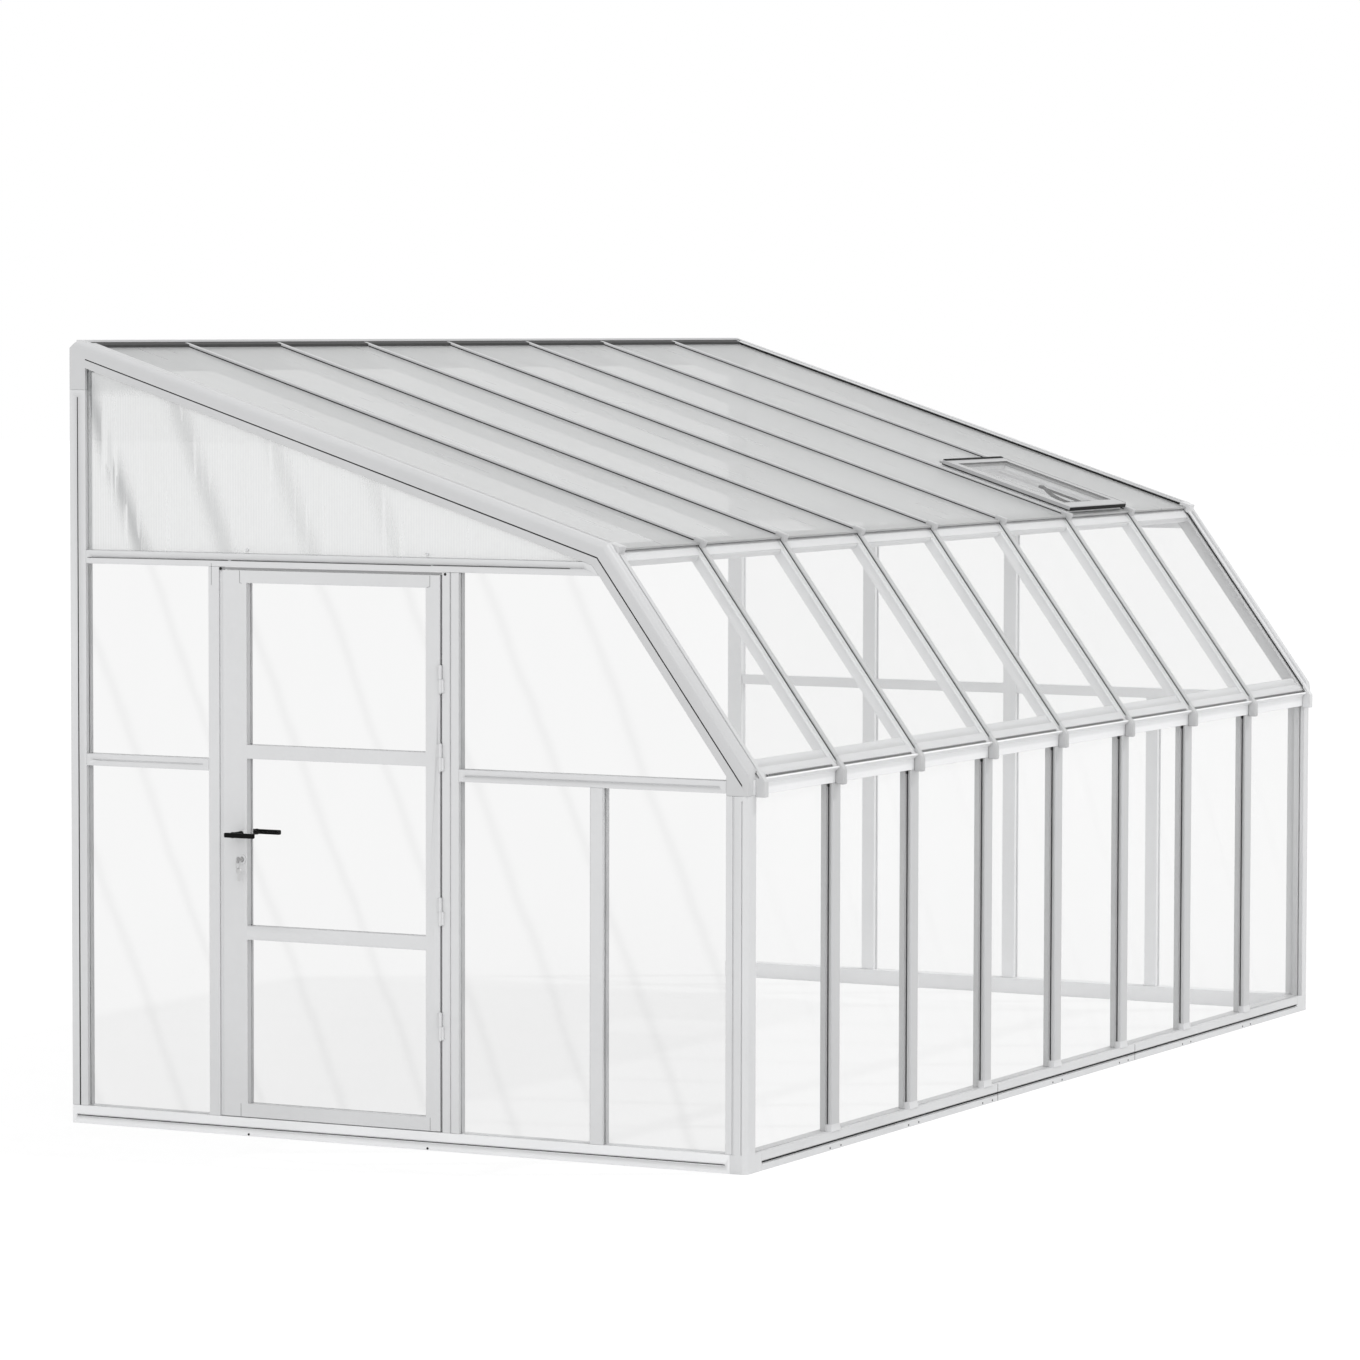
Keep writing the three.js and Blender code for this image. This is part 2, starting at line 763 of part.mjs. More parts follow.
// The dark strip that closes the roof sheets against the ridge rail, notched for the caps of the bars.
function ridgeSeal() {
  const x0 = memberDepth + fit;
  const x1 = overallLength - x0;
  const y1 = ridgeRailFace - fit;
  const y0 = y1 - sealWidth;
  const strip = sidePrism([
    [y0, roofHeight(y0, fit)],
    [y1, roofHeight(y1, fit)],
    [y1, roofHeight(y1, sealThickness)],
    [y0, roofHeight(y0, sealThickness)],
  ], x0, x1);
  const capEnd = ridgeRailFace - capStop + fit;
  const notches = [block(0, vergeStripEnd + fit, 0, capEnd, kneeHeight, ridgeHeight)];
  notches.push(block(overallLength - vergeStripEnd - fit, overallLength, 0, capEnd, kneeHeight, ridgeHeight));
  for (let i = 1; i < bayCount; i += 1) {
    const half = capWidth / 2 + fit;
    notches.push(block(barMiddle(i) - half, barMiddle(i) + half, 0, capEnd, kneeHeight, ridgeHeight));
  }
  return cut(strip, ...notches);
}

// Glazing bars, each with a roof leg and a steep leg

// The end piece at the eave, which reaches past the eave rail.
function eaveNub(x0, x1) {
  return sidePrism([
    [-nubReach, eaveHeight - nubDrop],
    [-fit, eaveHeight - nubDrop],
    [-fit, steepHeight(-fit, capRise)],
    [-nubReach, steepHeight(-nubReach, capRise)],
  ], x0, x1);
}

function kneeNub(x0, x1) {
  return roofBlock(x0, x1, -kneeNubReach, kneeNubBack, -kneeNubDepth, kneeNubRise);
}

function glazingCuts(x0, x1) {
  return [steepPanes(x0, x1, fit), roofSheet(x0, x1, fit), sidePrism(kneeBand(fit), x0, x1)];
}

function rafter() {
  const half = memberFace / 2;
  const nubHalf = nubWidth / 2;
  const ridge = ridgeRailFace - fit;
  const cap = sweep(rectangle(-capWidth / 2, capWidth / 2, -1 * toeRise, capRise), barLine(-fit, ridge - capStop));
  const neck = sweep(rectangle(-capWidth / 2, capWidth / 2, -flangeDepth, 0), barLine(-fit, ridge));
  const flange = sweep(rectangle(-half, half, -flangeDepth, -paneThickness - fit), barLine(-fit, ridge));
  const stemSection = rectangle(-stemWidth / 2, stemWidth / 2, -stemDepth, -flangeDepth + toeRise);
  const stem = sweep(stemSection, barLine(memberDepth + fit, ridge));
  const bar = joined(flange, neck, cap, stem, eaveNub(-nubHalf, nubHalf), kneeNub(-nubHalf, nubHalf));
  return cut(bar, ...glazingCuts(-memberFace, memberFace));
}

// The gable side of a verge bar, with its outer edge rounded over.
function vergeSection() {
  const points = [[0, -vergeDepth], [memberDepth, -vergeDepth], [memberDepth, vergeRise]];
  const steps = roundSides / 4;
  for (let i = 0; i <= steps; i += 1) {
    const angle = Math.PI / 2 * (1 + i / steps);
    const x = vergeRadius + vergeRadius * Math.cos(angle);
    points.push([x, vergeRise - vergeRadius + vergeRadius * Math.sin(angle)]);
  }
  return points;
}

function vergeWeb() {
  const web = sweep(vergeSection(), barLine(0, wallDepth));
  const below = block(-overrun, memberDepth + overrun, -overrun, cornerGableFace, 0, eaveHeight);
  const y1 = wallDepth + overrun;
  const bevel = sidePrism([
    [wallDepth - wallBevelRun, ridgeHeight],
    [y1, ridgeHeight - wallBevelDrop * (wallBevelRun + overrun) / wallBevelRun],
    [y1, ridgeHeight + memberFace],
    [wallDepth - wallBevelRun, ridgeHeight + memberFace],
  ], -overrun, memberDepth + overrun);
  const shoulder = sidePrism([
    [0, eaveHeight],
    [cornerGableFace, eaveHeight],
    [cornerGableFace, steepHeight(cornerGableFace, -vergeDepth)],
    [0, frontLine],
  ], 0, memberDepth);
  const wallLeg = block(0, memberDepth, wallPostStart, wallDepth, ridgeHeight - wallCapHeight, ridgeHeight - wallBevelDrop - vergeRadius);
  return joined(cut(web, below, bevel), shoulder, wallLeg);
}

function vergeGroove() {
  const lift = -vergeGrooveDepth;
  const section = rectangle(-overrun, grooveDepth, lift - grooveWidth / 2, lift + grooveWidth / 2);
  return sweep(section, barLine(cornerRadius, wallPostStart));
}

function vergeBar(panes) {
  const x0 = memberDepth - overrun;
  const x1 = 2 * vergeHalf;
  const ridge = ridgeRailFace - fit;
  const flange = sweep(rectangle(x0, x1, -flangeDepth, -paneThickness - fit), barLine(-fit, ridge));
  const neck = sweep(rectangle(x0, vergePaneStart - fit, -flangeDepth, 0), barLine(-fit, ridge));
  const plate = sweep(rectangle(x0, vergeStripEnd, -toeRise, vergePlateRise), barLine(-fit, ridge - capStop));
  const strip = sweep(rectangle(vergeStripStart, vergeStripEnd, -toeRise, capRise), barLine(-fit, ridge - capStop));
  const nubs = joined(eaveNub(vergeStripStart, vergeNubEnd), kneeNub(memberDepth - overrun, x1));
  const bar = joined(vergeWeb(), flange, neck, plate, strip, nubs);
  const kneeClear = sidePrism(kneeBand(fit), memberDepth, x1 + overrun);
  const steepClear = steepPanes(vergePaneStart - fit, x1 + overrun, fit);
  const roofClear = roofSheet(vergePaneStart - fit, x1 + overrun, fit);
  return cut(bar, kneeClear, steepClear, roofClear, vergeGroove(), gableSheet(fit), panes);
}

// Door

function doorPane(grow) {
  const y0 = doorHingeEdge + hingeStile - edgeHold - grow;
  const y1 = doorLockEdge - lockStile + edgeHold + grow;
  const z0 = doorFoot + doorBottomRail - edgeHold - grow;
  const z1 = doorFoot + doorHeight - doorTopRail + edgeHold + grow;
  return block(doorPaneDepth - grow, doorPaneDepth + paneThickness + grow, y0, y1, z0, z1);
}

function doorOpenings() {
  const feet = [doorBottomRail, ...doorRailShares.map((share) => share * doorHeight + doorRailHeight)];
  const heads = [...doorRailShares.map((share) => share * doorHeight), doorHeight - doorTopRail];
  const y0 = doorHingeEdge + hingeStile;
  const y1 = doorLockEdge - lockStile;
  return feet.map((foot, i) => block(-overrun, doorThickness + overrun, y0, y1, doorFoot + foot, doorFoot + heads[i]));
}

// The moving half of each hinge: a bored knuckle on an arm from the edge of the door.
function movingHinge(middle) {
  const z0 = middle + fit;
  const z1 = middle + hingeHeight / 2;
  const y0 = hingeAxisDepth;
  const y1 = doorHingeEdge + hingeArm;
  const arm = block(-hingeStandOff - hingeArmThickness / 2, fit, doorHingeEdge, y1, z0, z1);
  const link = block(-hingeStandOff - hingeArmThickness / 2, -hingeStandOff + hingeArmThickness / 2, y0, y1, z0, z1);
  const bore = hingePin(z0 - overrun, z1 - overrun + boltPlay, hingePinRadius + hingePinPlay);
  return cut(joined(arm, link, knuckle(z0, z1)), bore);
}

function boltPocket(height, size, inner) {
  const z0 = height - size / 2 - boltPlay;
  const z1 = height + size / 2 + boltPlay;
  return block(boltStart - boltPlay, boltStart + boltWidth + boltPlay, inner, doorLockEdge + overrun, z0, z1);
}

function rose(depth, height, x0, x1) {
  return rod(roseRadius, x0, x1, "x").translate([0, depth, height]);
}

function doorFrame() {
  const leaf = block(0, doorThickness, doorHingeEdge, doorLockEdge, doorFoot, doorFoot + doorHeight);
  const roses = [];
  const holes = [];
  for (const [depth, height, radius] of [
    [spindleDepth, handleHeight, neckRadius],
    [lockDepth, lockHeight, cylinderRadius],
  ]) {
    roses.push(rose(depth, height, -roseThickness, overrun));
    roses.push(rose(depth, height, doorThickness - overrun, doorThickness + roseThickness));
    const far = doorThickness + roseThickness + overrun;
    holes.push(rod(radius + neckPlay, -roseThickness - overrun, far, "x").translate([0, depth, height]));
  }
  const latchInner = doorLockEdge - latchLength - boltPlay;
  const deadboltInner = doorLockEdge - deadboltSink - deadboltLength - boltPlay;
  const pockets = [
    boltPocket(handleHeight, latchHeight, latchInner),
    boltPocket(lockHeight, deadboltHeight, deadboltInner),
  ];
  const body = joined(cut(leaf, ...doorOpenings()), ...roses, ...hingeMiddles().map(movingHinge));
  return cut(body, ...holes, ...pockets, doorPane(fit));
}

// A lever along the door, its round neck and, on the outer one, the square spindle through the door.
function lever(x0, x1, neckStart, neckEnd) {
  const half = leverThickness / 2;
  const shape = new THREE.Shape();
  shape.absarc(leverHeel - half, 0, half, -Math.PI / 2, Math.PI / 2, false);
  shape.absarc(half - leverReach, 0, half, Math.PI / 2, Math.PI * 3 / 2, false);
  const settings = { depth: x1 - x0, bevelEnabled: false, curveSegments: roundSides / 4 };
  const geometry = new THREE.ExtrudeGeometry(shape, settings);
  const across = new THREE.Vector3(0, 1, 0);
  const up = new THREE.Vector3(0, 0, 1);
  const along = new THREE.Vector3(1, 0, 0);
  geometry.applyMatrix4(new THREE.Matrix4().makeBasis(across, up, along));
  geometry.translate(x0, 0, 0);
  return joined(solid(geometry), rod(neckRadius, neckStart, neckEnd, "x"));
}

function spindle(grow) {
  const half = spindleSize / 2 + grow;
  return block(-handleStandOff, doorThickness + handleStandOff / 2, -half, half, -half, half);
}

function outerHandle() {
  const arm = lever(-handleStandOff - leverThickness, -handleStandOff, -handleStandOff - overrun, overrun);
  return joined(arm, spindle(0));
}

function innerHandle() {
  const face = doorThickness + handleStandOff;
  const arm = lever(face, face + leverThickness, doorThickness - overrun, face + overrun);
  return cut(arm, spindle(fit));
}

function latchBolt() {
  const tip = doorLockEdge + latchThrow;
  const half = latchHeight / 2;
  return block(boltStart, boltStart + boltWidth, tip - latchLength, tip, handleHeight - half, handleHeight + half);
}

function deadbolt() {
  const tip = doorLockEdge - deadboltSink;
  const half = deadboltHeight / 2;
  return block(boltStart, boltStart + boltWidth, tip - deadboltLength, tip, lockHeight - half, lockHeight + half);
}

function keySolid(grow) {
  const start = -roseThickness - cylinderProud;
  const half = keyThickness / 2 + grow;
  const height = keyBladeHeight / 2 + grow;
  const blade = block(start - keyShank, start + keyBladeLength + grow, -half, half, -height, height);
  const bow = new THREE.CylinderGeometry(keyBowRadius, keyBowRadius, keyThickness, roundSides);
  bow.rotateZ(Math.PI / 2);
  bow.rotateX(Math.PI / 2);
  bow.rotateZ(Math.PI / 2);
  bow.translate(start - keyShank - keyBowRadius / 2, 0, 0);
  return grow > 0 ? blade : joined(blade, solid(bow));
}

function lockCylinder() {
  const barrel = rod(cylinderRadius, -roseThickness - cylinderProud, doorThickness + roseThickness, "x");
  return cut(barrel, keySolid(fit));
}

// Roof vent, drawn in the frame of the roof leg

function ring(half, foot, head, border, lift0, lift1) {
  const outer = block(-half, half, foot, head, lift0, lift1);
  const inner = block(border - half, half - border, foot + border, head - border, lift0 - overrun, lift1 + overrun);
  return cut(outer, inner);
}

function ventRod(radius, half) {
  const axisRun = lidHead + ventAxisReach;
  return rod(radius, -half, half, "x").translate([0, axisRun, ventAxisLift]);
}

// A lug that carries the hinge rod, on an arm that runs under the head of the lid.
function ventLug(middle) {
  const axisRun = lidHead + ventAxisReach;
  const half = ventLugWidth / 2;
  const arm = block(middle - half, middle + half, curbHead - overrun, axisRun + overrun, fit, curbLedgeRise);
  const post = block(middle - half, middle + half, axisRun - rodRadius, axisRun + rodRadius, fit, ventAxisLift);
  const eye = ventRod(ventLugRadius, half).translate([middle, 0, 0]);
  return joined(arm, post, eye);
}

function ventCurb() {
  const core = ring(curbHalfWidth, curbFoot, curbHead, curbBorder, -sheetThickness, curbRise);
  const half = curbHalfWidth + curbLedge;
  const border = curbBorder + curbLedge;
  const ledge = ring(half, curbFoot - curbLedge, curbHead + curbLedge, border, fit, curbLedgeRise);
  const lugs = ventLugShares.map((share) => ventLug(share * lidHalfWidth));
  return cut(joined(core, ledge, ...lugs), ventRod(rodRadius + rodPlay, lidHalfWidth + overrun));
}

function ventPane(grow) {
  const half = lidHalfWidth - lidBorder + edgeHold + grow;
  const foot = lidFoot + lidBorder - edgeHold - grow;
  const head = lidHead - lidBorder + edgeHold + grow;
  return block(-half, half, foot, head, lidPaneLift - grow, lidPaneLift + sheetThickness + grow);
}

// The cheeks under the foot of the lid that hold the stay's pin.
function stayCheek(side) {
  const near = stayWidth / 2 + cheekPlay;
  const edge = side * (near + cheekThickness / 2);
  const x0 = edge - cheekThickness / 2;
  const x1 = edge + cheekThickness / 2;
  const top = lidPaneLift - cheekPlay;
  return block(x0, x1, lidFoot + lidBorder - overrun, stayPivotRun + stayHeight, lidUnderside, top);
}

function ventFrame() {
  const border = ring(lidHalfWidth, lidFoot, lidHead, lidBorder, lidUnderside, lidTop);
  const axisRun = lidHead + ventAxisReach;
  const tongues = ventTongueShares.map((share) => {
    const middle = share * lidHalfWidth;
    const half = ventTongueWidth / 2;
    const z0 = ventAxisLift - rodRadius / 2;
    return block(middle - half, middle + half, lidHead - overrun, axisRun, z0, ventAxisLift + rodRadius / 2);
  });
  const hinge = joined(ventRod(rodRadius, lidHalfWidth - overrun), ...tongues);
  const cheeks = [stayCheek(-1), stayCheek(1)];
  const holeHalf = stayWidth + cheekThickness + overrun;
  const hole = rod(stayPinRadius + stayPinPlay, -holeHalf, holeHalf, "x").translate([0, stayPivotRun, stayPivotLift]);
  return cut(joined(border, hinge, cut(joined(...cheeks), hole)), ventPane(fit));
}

function ventStay() {
  const half = stayWidth / 2;
  const lift0 = stayPivotLift - stayHeight / 2;
  const arm = block(-half, half, stayPivotRun - stayHeight / 2, stayPivotRun + stayLength, lift0, lift0 + stayHeight);
  const pinHalf = half + cheekPlay + cheekThickness;
  const pin = rod(stayPinRadius, -pinHalf, pinHalf, "x").translate([0, stayPivotRun, stayPivotLift]);
  return joined(arm, pin);
}

// Materials

function finish(color, roughness, metalness, opacity) {
  const transparent = opacity < 1;
  return new THREE.MeshStandardMaterial({ color, roughness, metalness, opacity, transparent });
}

const resin = finish(0xe4e6e7, 0.45, 0, 1);
const clearPane = finish(0xf4f7f8, 0.08, 0, 0.3);
const twinWall = finish(0xdfe4e6, 0.3, 0, 0.7);
const black = finish(0x17181a, 0.4, 0, 1);
const rubber = finish(0x202224, 0.8, 0, 1);
const steel = finish(0xb9bcbf, 0.3, 1, 1);

function meshOf(name, shape, material) {
  const data = shape.getMesh();
  const geometry = new THREE.BufferGeometry();
  geometry.setAttribute("position", new THREE.BufferAttribute(data.vertProperties, 3));
  geometry.setIndex(new THREE.BufferAttribute(data.triVerts, 1));
  const mesh = new THREE.Mesh(geometry, material);
  mesh.name = name;
  return mesh;
}

function placed(mesh, x, y, z) {
  mesh.position.set(x, y, z);
  return mesh;
}

// A far gable is the near one's mirror image, so its group is reflected along X.
function mirroredGroup() {
  const group = new THREE.Group();
  group.scale.x = -1;
  group.position.x = overallLength;
  return group;
}

function baseGroup(far) {
  const group = new THREE.Group();
  const [first, second] = baseJointBayShares.map((share) => endMargin + share * bayPitch);
  const end = footLength + fit;
  group.add(meshOf("base_front_near", baseFront(end, first - fit / 2), resin));
  group.add(meshOf("base_front_middle", baseFront(first + fit / 2, second - fit / 2), resin));
  group.add(meshOf("base_front_far", baseFront(second + fit / 2, overallLength - end), resin));
  group.add(meshOf("base_near_end", baseEnd([nearPanesWallSide(fit), nearPanesFront(fit)]), resin));
  far.add(meshOf("base_far_end", baseEnd([farPanes(fit)]), resin));
  return group;
}

function frontGroup() {
  const group = new THREE.Group();
  const post = frontPost();
  const bar = rafter();
  for (let i = 1; i < bayCount; i += 1) {
    group.add(placed(meshOf("front_post_" + i, post, resin), barMiddle(i), 0, 0));
    group.add(placed(meshOf("rafter_" + i, bar, resin), barMiddle(i), 0, 0));
  }
  group.add(meshOf("eave_rail", eaveRail(), resin));
  group.add(meshOf("knee_rail", kneeRail(), resin));
  group.add(meshOf("ridge_rail", ridgeRail(), resin));
  group.add(meshOf("ridge_seal", ridgeSeal(), rubber));
  return group;
}

function nearGable() {
  const group = new THREE.Group();
  const wallSide = nearPanesWallSide(fit);
  const frontSide = nearPanesFront(fit);
  const sheet = gableSheet(fit);
  const shortMiddle = wallDepth * nearShortPostShare;
  group.add(meshOf("corner_post_near", cornerPost(frontSide), resin));
  group.add(meshOf("wall_post_near", wallPost([wallSide, sheet]), resin));
  group.add(meshOf("door_post_lock_side", lockSidePost(), resin));
  group.add(meshOf("door_post_hinge_side", hingeSidePost(), resin));
  group.add(meshOf("short_post_near", gablePost(shortMiddle, shortPostWidth, midRailFoot - fit, [frontSide]), resin));
  group.add(meshOf("crossbar_near", crossbar([wallSide, frontSide, sheet]), resin));
  group.add(meshOf("mid_rail_near_wall_side", gableRail(lockPostEnd, wallPostStart, 0, [wallSide]), resin));
  group.add(meshOf("mid_rail_near_front", gableRail(cornerGableFace, hingePostStart, 0, [frontSide]), resin));
  group.add(meshOf("verge_bar_near", vergeBar(frontSide), resin));
  group.add(meshOf("gable_sheet_near", gableSheet(0), twinWall));
  group.add(meshOf("near_panes_wall_side", nearPanesWallSide(0), clearPane));
  group.add(meshOf("near_panes_front", nearPanesFront(0), clearPane));
  return group;
}

function fillFarGable(group) {
  const panes = farPanes(fit);
  const sheet = gableSheet(fit);
  const shortMiddle = wallDepth * farShortPostShare;
  group.add(meshOf("corner_post_far", cornerPost(panes), resin));
  group.add(meshOf("wall_post_far", wallPost([panes, sheet]), resin));
  group.add(meshOf("far_post_1", farPost(farPostShares[0]), resin));
  group.add(meshOf("far_post_2", farPost(farPostShares[1]), resin));
  group.add(meshOf("far_short_post", gablePost(shortMiddle, shortPostWidth, midRailFoot - fit, [panes]), resin));
  group.add(meshOf("crossbar_far", crossbar([panes, sheet]), resin));
  group.add(meshOf("mid_rail_far", gableRail(cornerGableFace, wallPostStart, farRailInset, [panes]), resin));
  group.add(meshOf("verge_bar_far", vergeBar(panes), resin));
  group.add(meshOf("gable_sheet_far", gableSheet(0), twinWall));
  group.add(meshOf("far_panes", farPanes(0), clearPane));
}

function glazingGroup() {
  const group = new THREE.Group();
  const x0 = vergePaneStart;
  const x1 = overallLength - vergePaneStart;
  group.add(meshOf("front_panes", frontPanes(0), clearPane));
  group.add(meshOf("slant_panes", steepPanes(x0, x1, 0), clearPane));
  group.add(meshOf("roof_sheets", cut(roofSheet(x0, x1, 0), ventHole()), twinWall));
  return group;
}

function doorGroup() {
  const group = new THREE.Group();
  group.add(meshOf("door_frame", doorFrame(), resin));
  group.add(meshOf("door_pane", doorPane(0), clearPane));
  group.add(placed(meshOf("outer_handle", outerHandle(), black), 0, spindleDepth, handleHeight));
  group.add(placed(meshOf("inner_handle", innerHandle(), black), 0, spindleDepth, handleHeight));
  group.add(meshOf("latch_bolt", latchBolt(), steel));
  group.add(meshOf("deadbolt", deadbolt(), steel));
  group.add(placed(meshOf("lock_cylinder", lockCylinder(), steel), 0, lockDepth, lockHeight));
  group.add(placed(meshOf("key", keySolid(0), steel), 0, lockDepth, lockHeight));
  return group;
}

function ventGroup() {
  const group = new THREE.Group();
  group.position.set(ventMiddle, kneeDepth, kneeHeight);
  group.rotation.x = roofSlope;
  group.add(meshOf("vent_curb", ventCurb(), resin));
  group.add(meshOf("vent_frame", ventFrame(), resin));
  group.add(meshOf("vent_pane", ventPane(0), twinWall));
  group.add(meshOf("vent_stay", ventStay(), black));
  return group;
}

// The part's own frame: the middle of the footprint, handles counted in, is the origin.
const houseMiddleX = (overallLength - handleStandOff - leverThickness) / 2;
const houseMiddleY = (wallDepth - nubReach) / 2;

const greenhouse = new THREE.Group();
const house = new THREE.Group();
house.position.set(-houseMiddleX, -houseMiddleY, 0);
const farGable = mirroredGroup();
house.add(baseGroup(farGable), frontGroup(), nearGable(), farGable, glazingGroup(), doorGroup(), ventGroup());
fillFarGable(farGable);
greenhouse.add(house);

export default greenhouse;
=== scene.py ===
import bmesh
import bpy
import json
import math
import numpy as np
from mathutils import Matrix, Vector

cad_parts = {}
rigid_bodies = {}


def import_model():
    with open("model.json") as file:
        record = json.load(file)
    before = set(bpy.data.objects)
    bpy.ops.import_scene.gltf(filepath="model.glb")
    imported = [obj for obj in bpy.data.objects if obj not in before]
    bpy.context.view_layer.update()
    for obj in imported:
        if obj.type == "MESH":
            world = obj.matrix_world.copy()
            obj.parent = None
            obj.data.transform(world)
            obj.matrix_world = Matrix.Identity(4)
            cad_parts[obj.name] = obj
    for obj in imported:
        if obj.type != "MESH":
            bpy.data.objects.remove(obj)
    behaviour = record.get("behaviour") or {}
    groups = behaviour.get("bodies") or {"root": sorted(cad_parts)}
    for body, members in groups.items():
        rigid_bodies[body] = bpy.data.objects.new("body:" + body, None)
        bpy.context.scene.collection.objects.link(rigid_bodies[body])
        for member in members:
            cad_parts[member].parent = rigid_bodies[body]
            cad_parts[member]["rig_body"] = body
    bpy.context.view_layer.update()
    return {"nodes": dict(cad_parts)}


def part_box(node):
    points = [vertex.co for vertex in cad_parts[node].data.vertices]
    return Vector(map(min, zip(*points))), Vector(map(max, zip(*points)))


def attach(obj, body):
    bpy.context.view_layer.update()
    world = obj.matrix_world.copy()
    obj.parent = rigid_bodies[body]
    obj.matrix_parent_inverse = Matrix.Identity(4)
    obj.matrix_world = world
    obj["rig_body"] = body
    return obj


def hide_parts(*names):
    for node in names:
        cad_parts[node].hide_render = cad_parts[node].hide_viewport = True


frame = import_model()

# The greenhouse in metres: x along the house wall from the door gable, y from the long front to the wall, z up.
house = {
    "bay": 0.610,
    "bays": 8,
    "margin": 0.0435,
    "kneeDepth": 0.518,
    "kneeHeight": 1.9875,
    "roofSlope": math.radians(17.82),
    "steepSlope": math.radians(53.8),
    "baseHeight": 0.061,
    "memberDepth": 0.043,
}
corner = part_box("corner_post_near")[0]
shift = np.array([corner.x, corner.y, 0.0])
houseLength = 2 * house["margin"] + house["bays"] * house["bay"]
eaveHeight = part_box("front_post_1")[1].z
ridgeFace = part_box("ridge_rail")[0].y - corner.y


def barMiddle(index):
    return house["margin"] + index * house["bay"]


# A shape is its points, its quads and its triangles.


def gridQuads(rows, columns, closed):
    # corner indices of a grid of rows x columns points; closed joins the last column to the first
    across = np.arange(columns if closed else columns - 1)
    start = np.arange(rows - 1)[:, None] * columns
    here, after = start + across, start + (across + 1) % columns
    return np.stack([here, after, after + columns, here + columns], -1).reshape(-1, 4)


def fan(indices):
    # triangles from the first of a flat, convex ring of points to each of its other sides
    ring = np.asarray(indices)
    first = np.full(len(ring) - 2, ring[0])
    return np.stack([first, ring[1:-1], ring[2:]], -1)


def loft(rings):
    # rings of equally many points, joined by quads and closed at both ends
    rings = np.asarray(rings, float)
    rows, columns = rings.shape[:2]
    ends = np.concatenate([fan(np.arange(columns)[::-1]), fan((rows - 1) * columns + np.arange(columns))])
    return rings.reshape(-1, 3), gridQuads(rows, columns, True), ends


def merged(*shapes):
    # several shapes as one, with the indices of each moved past the points before it
    counts = np.cumsum([0] + [len(points) for points, _, _ in shapes])
    points = np.concatenate([shape[0] for shape in shapes])
    quads = np.concatenate([shape[1] + start for shape, start in zip(shapes, counts)])
    triangles = np.concatenate([shape[2] + start for shape, start in zip(shapes, counts)])
    return points, quads, triangles


def repeated(shape, offsets):
    # the shape once at each offset
    points, quads, triangles = shape
    offsets = np.asarray(offsets, float)
    starts = (np.arange(len(offsets)) * len(points))[:, None, None]
    allPoints = (points[None] + offsets[:, None]).reshape(-1, 3)
    return allPoints, (quads[None] + starts).reshape(-1, 4), (triangles[None] + starts).reshape(-1, 3)


def mirroredX(shape, middle):
    # the shape seen in a mirror that stands across x at the middle
    points, quads, triangles = shape
    return points * [-1, 1, 1] + [2 * middle, 0, 0], quads[:, ::-1], triangles[:, ::-1]


def roundedRectangle(u0, u1, v0, v1, radius, steps=4):
    # four quarter circles, each point = the corner's centre + radius x (cos, sin) of its angle
    turn = np.linspace(0, math.pi / 2, steps + 1)
    centres = [
        (u1 - radius, v1 - radius), (u0 + radius, v1 - radius),
        (u0 + radius, v0 + radius), (u1 - radius, v0 + radius),
    ]
    return np.concatenate([
        np.stack([cu + radius * np.cos(turn + k * math.pi / 2), cv + radius * np.sin(turn + k * math.pi / 2)], -1)
        for k, (cu, cv) in enumerate(centres)
    ])


def softBox(x0, x1, y0, y1, z0, z1, radius, steps=3):
    # a box with every edge rounded: each rounded (x, y) ring shrinks and rises by a quarter circle at both ends
    turn = np.linspace(0, math.pi / 2, steps + 1)
    inset = radius * (1 - np.cos(turn))
    rise = radius * (1 - np.sin(turn))
    levels = [(i, z0 + r) for i, r in zip(inset[::-1], rise[::-1])] + [(i, z1 - r) for i, r in zip(inset, rise)]
    rings = []
    for shrink, z in levels:
        rounding = max(radius - shrink, radius * 0.06)
        flat = roundedRectangle(x0 + shrink, x1 - shrink, y0 + shrink, y1 - shrink, rounding, steps)
        rings.append(np.column_stack([flat, np.full(len(flat), z)]))
    return loft(rings)


def turned(profile, centre, axis, sides=20):
    # a profile of (radius, height) pairs turned about an axis: centre + height x axis + radius x (cos, sin)
    profile = np.asarray(profile, float)
    axis = np.asarray(axis, float)
    side = np.cross(axis, [0.3, 0.5, 0.81])
    side /= np.linalg.norm(side)
    other = np.cross(axis, side)
    angle = np.linspace(0, 2 * math.pi, sides, endpoint=False)
    spokes = np.cos(angle)[:, None] * side + np.sin(angle)[:, None] * other
    rings = np.asarray(centre) + profile[:, 1, None, None] * axis + profile[:, 0, None, None] * spokes
    return loft(rings)


def domeHead(radius, height, centre, axis, sides=12):
    # a screw head: a low dome of quarter-ellipse section
    turn = np.linspace(0, math.pi / 2, 5)[:-1]
    profile = [(radius * 0.9, -height * 0.5)] + list(zip(radius * np.cos(turn), height * np.sin(turn)))
    return turned(profile + [(radius * 0.08, height)], centre, axis, sides)


def legPoints(slope, run, lift):
    # the knee + run up the slope + lift square to it, as (y, z)
    run, lift = np.broadcast_arrays(np.asarray(run, float), np.asarray(lift, float))
    y = house["kneeDepth"] + run * math.cos(slope) - lift * math.sin(slope)
    z = house["kneeHeight"] + run * math.sin(slope) + lift * math.cos(slope)
    return np.stack([y, z], -1)


def heightAt(slope, depth, lift):
    # the height of one leg's surface at a depth from the long front
    return house["kneeHeight"] + (depth - house["kneeDepth"]) * math.tan(slope) + lift / math.cos(slope)


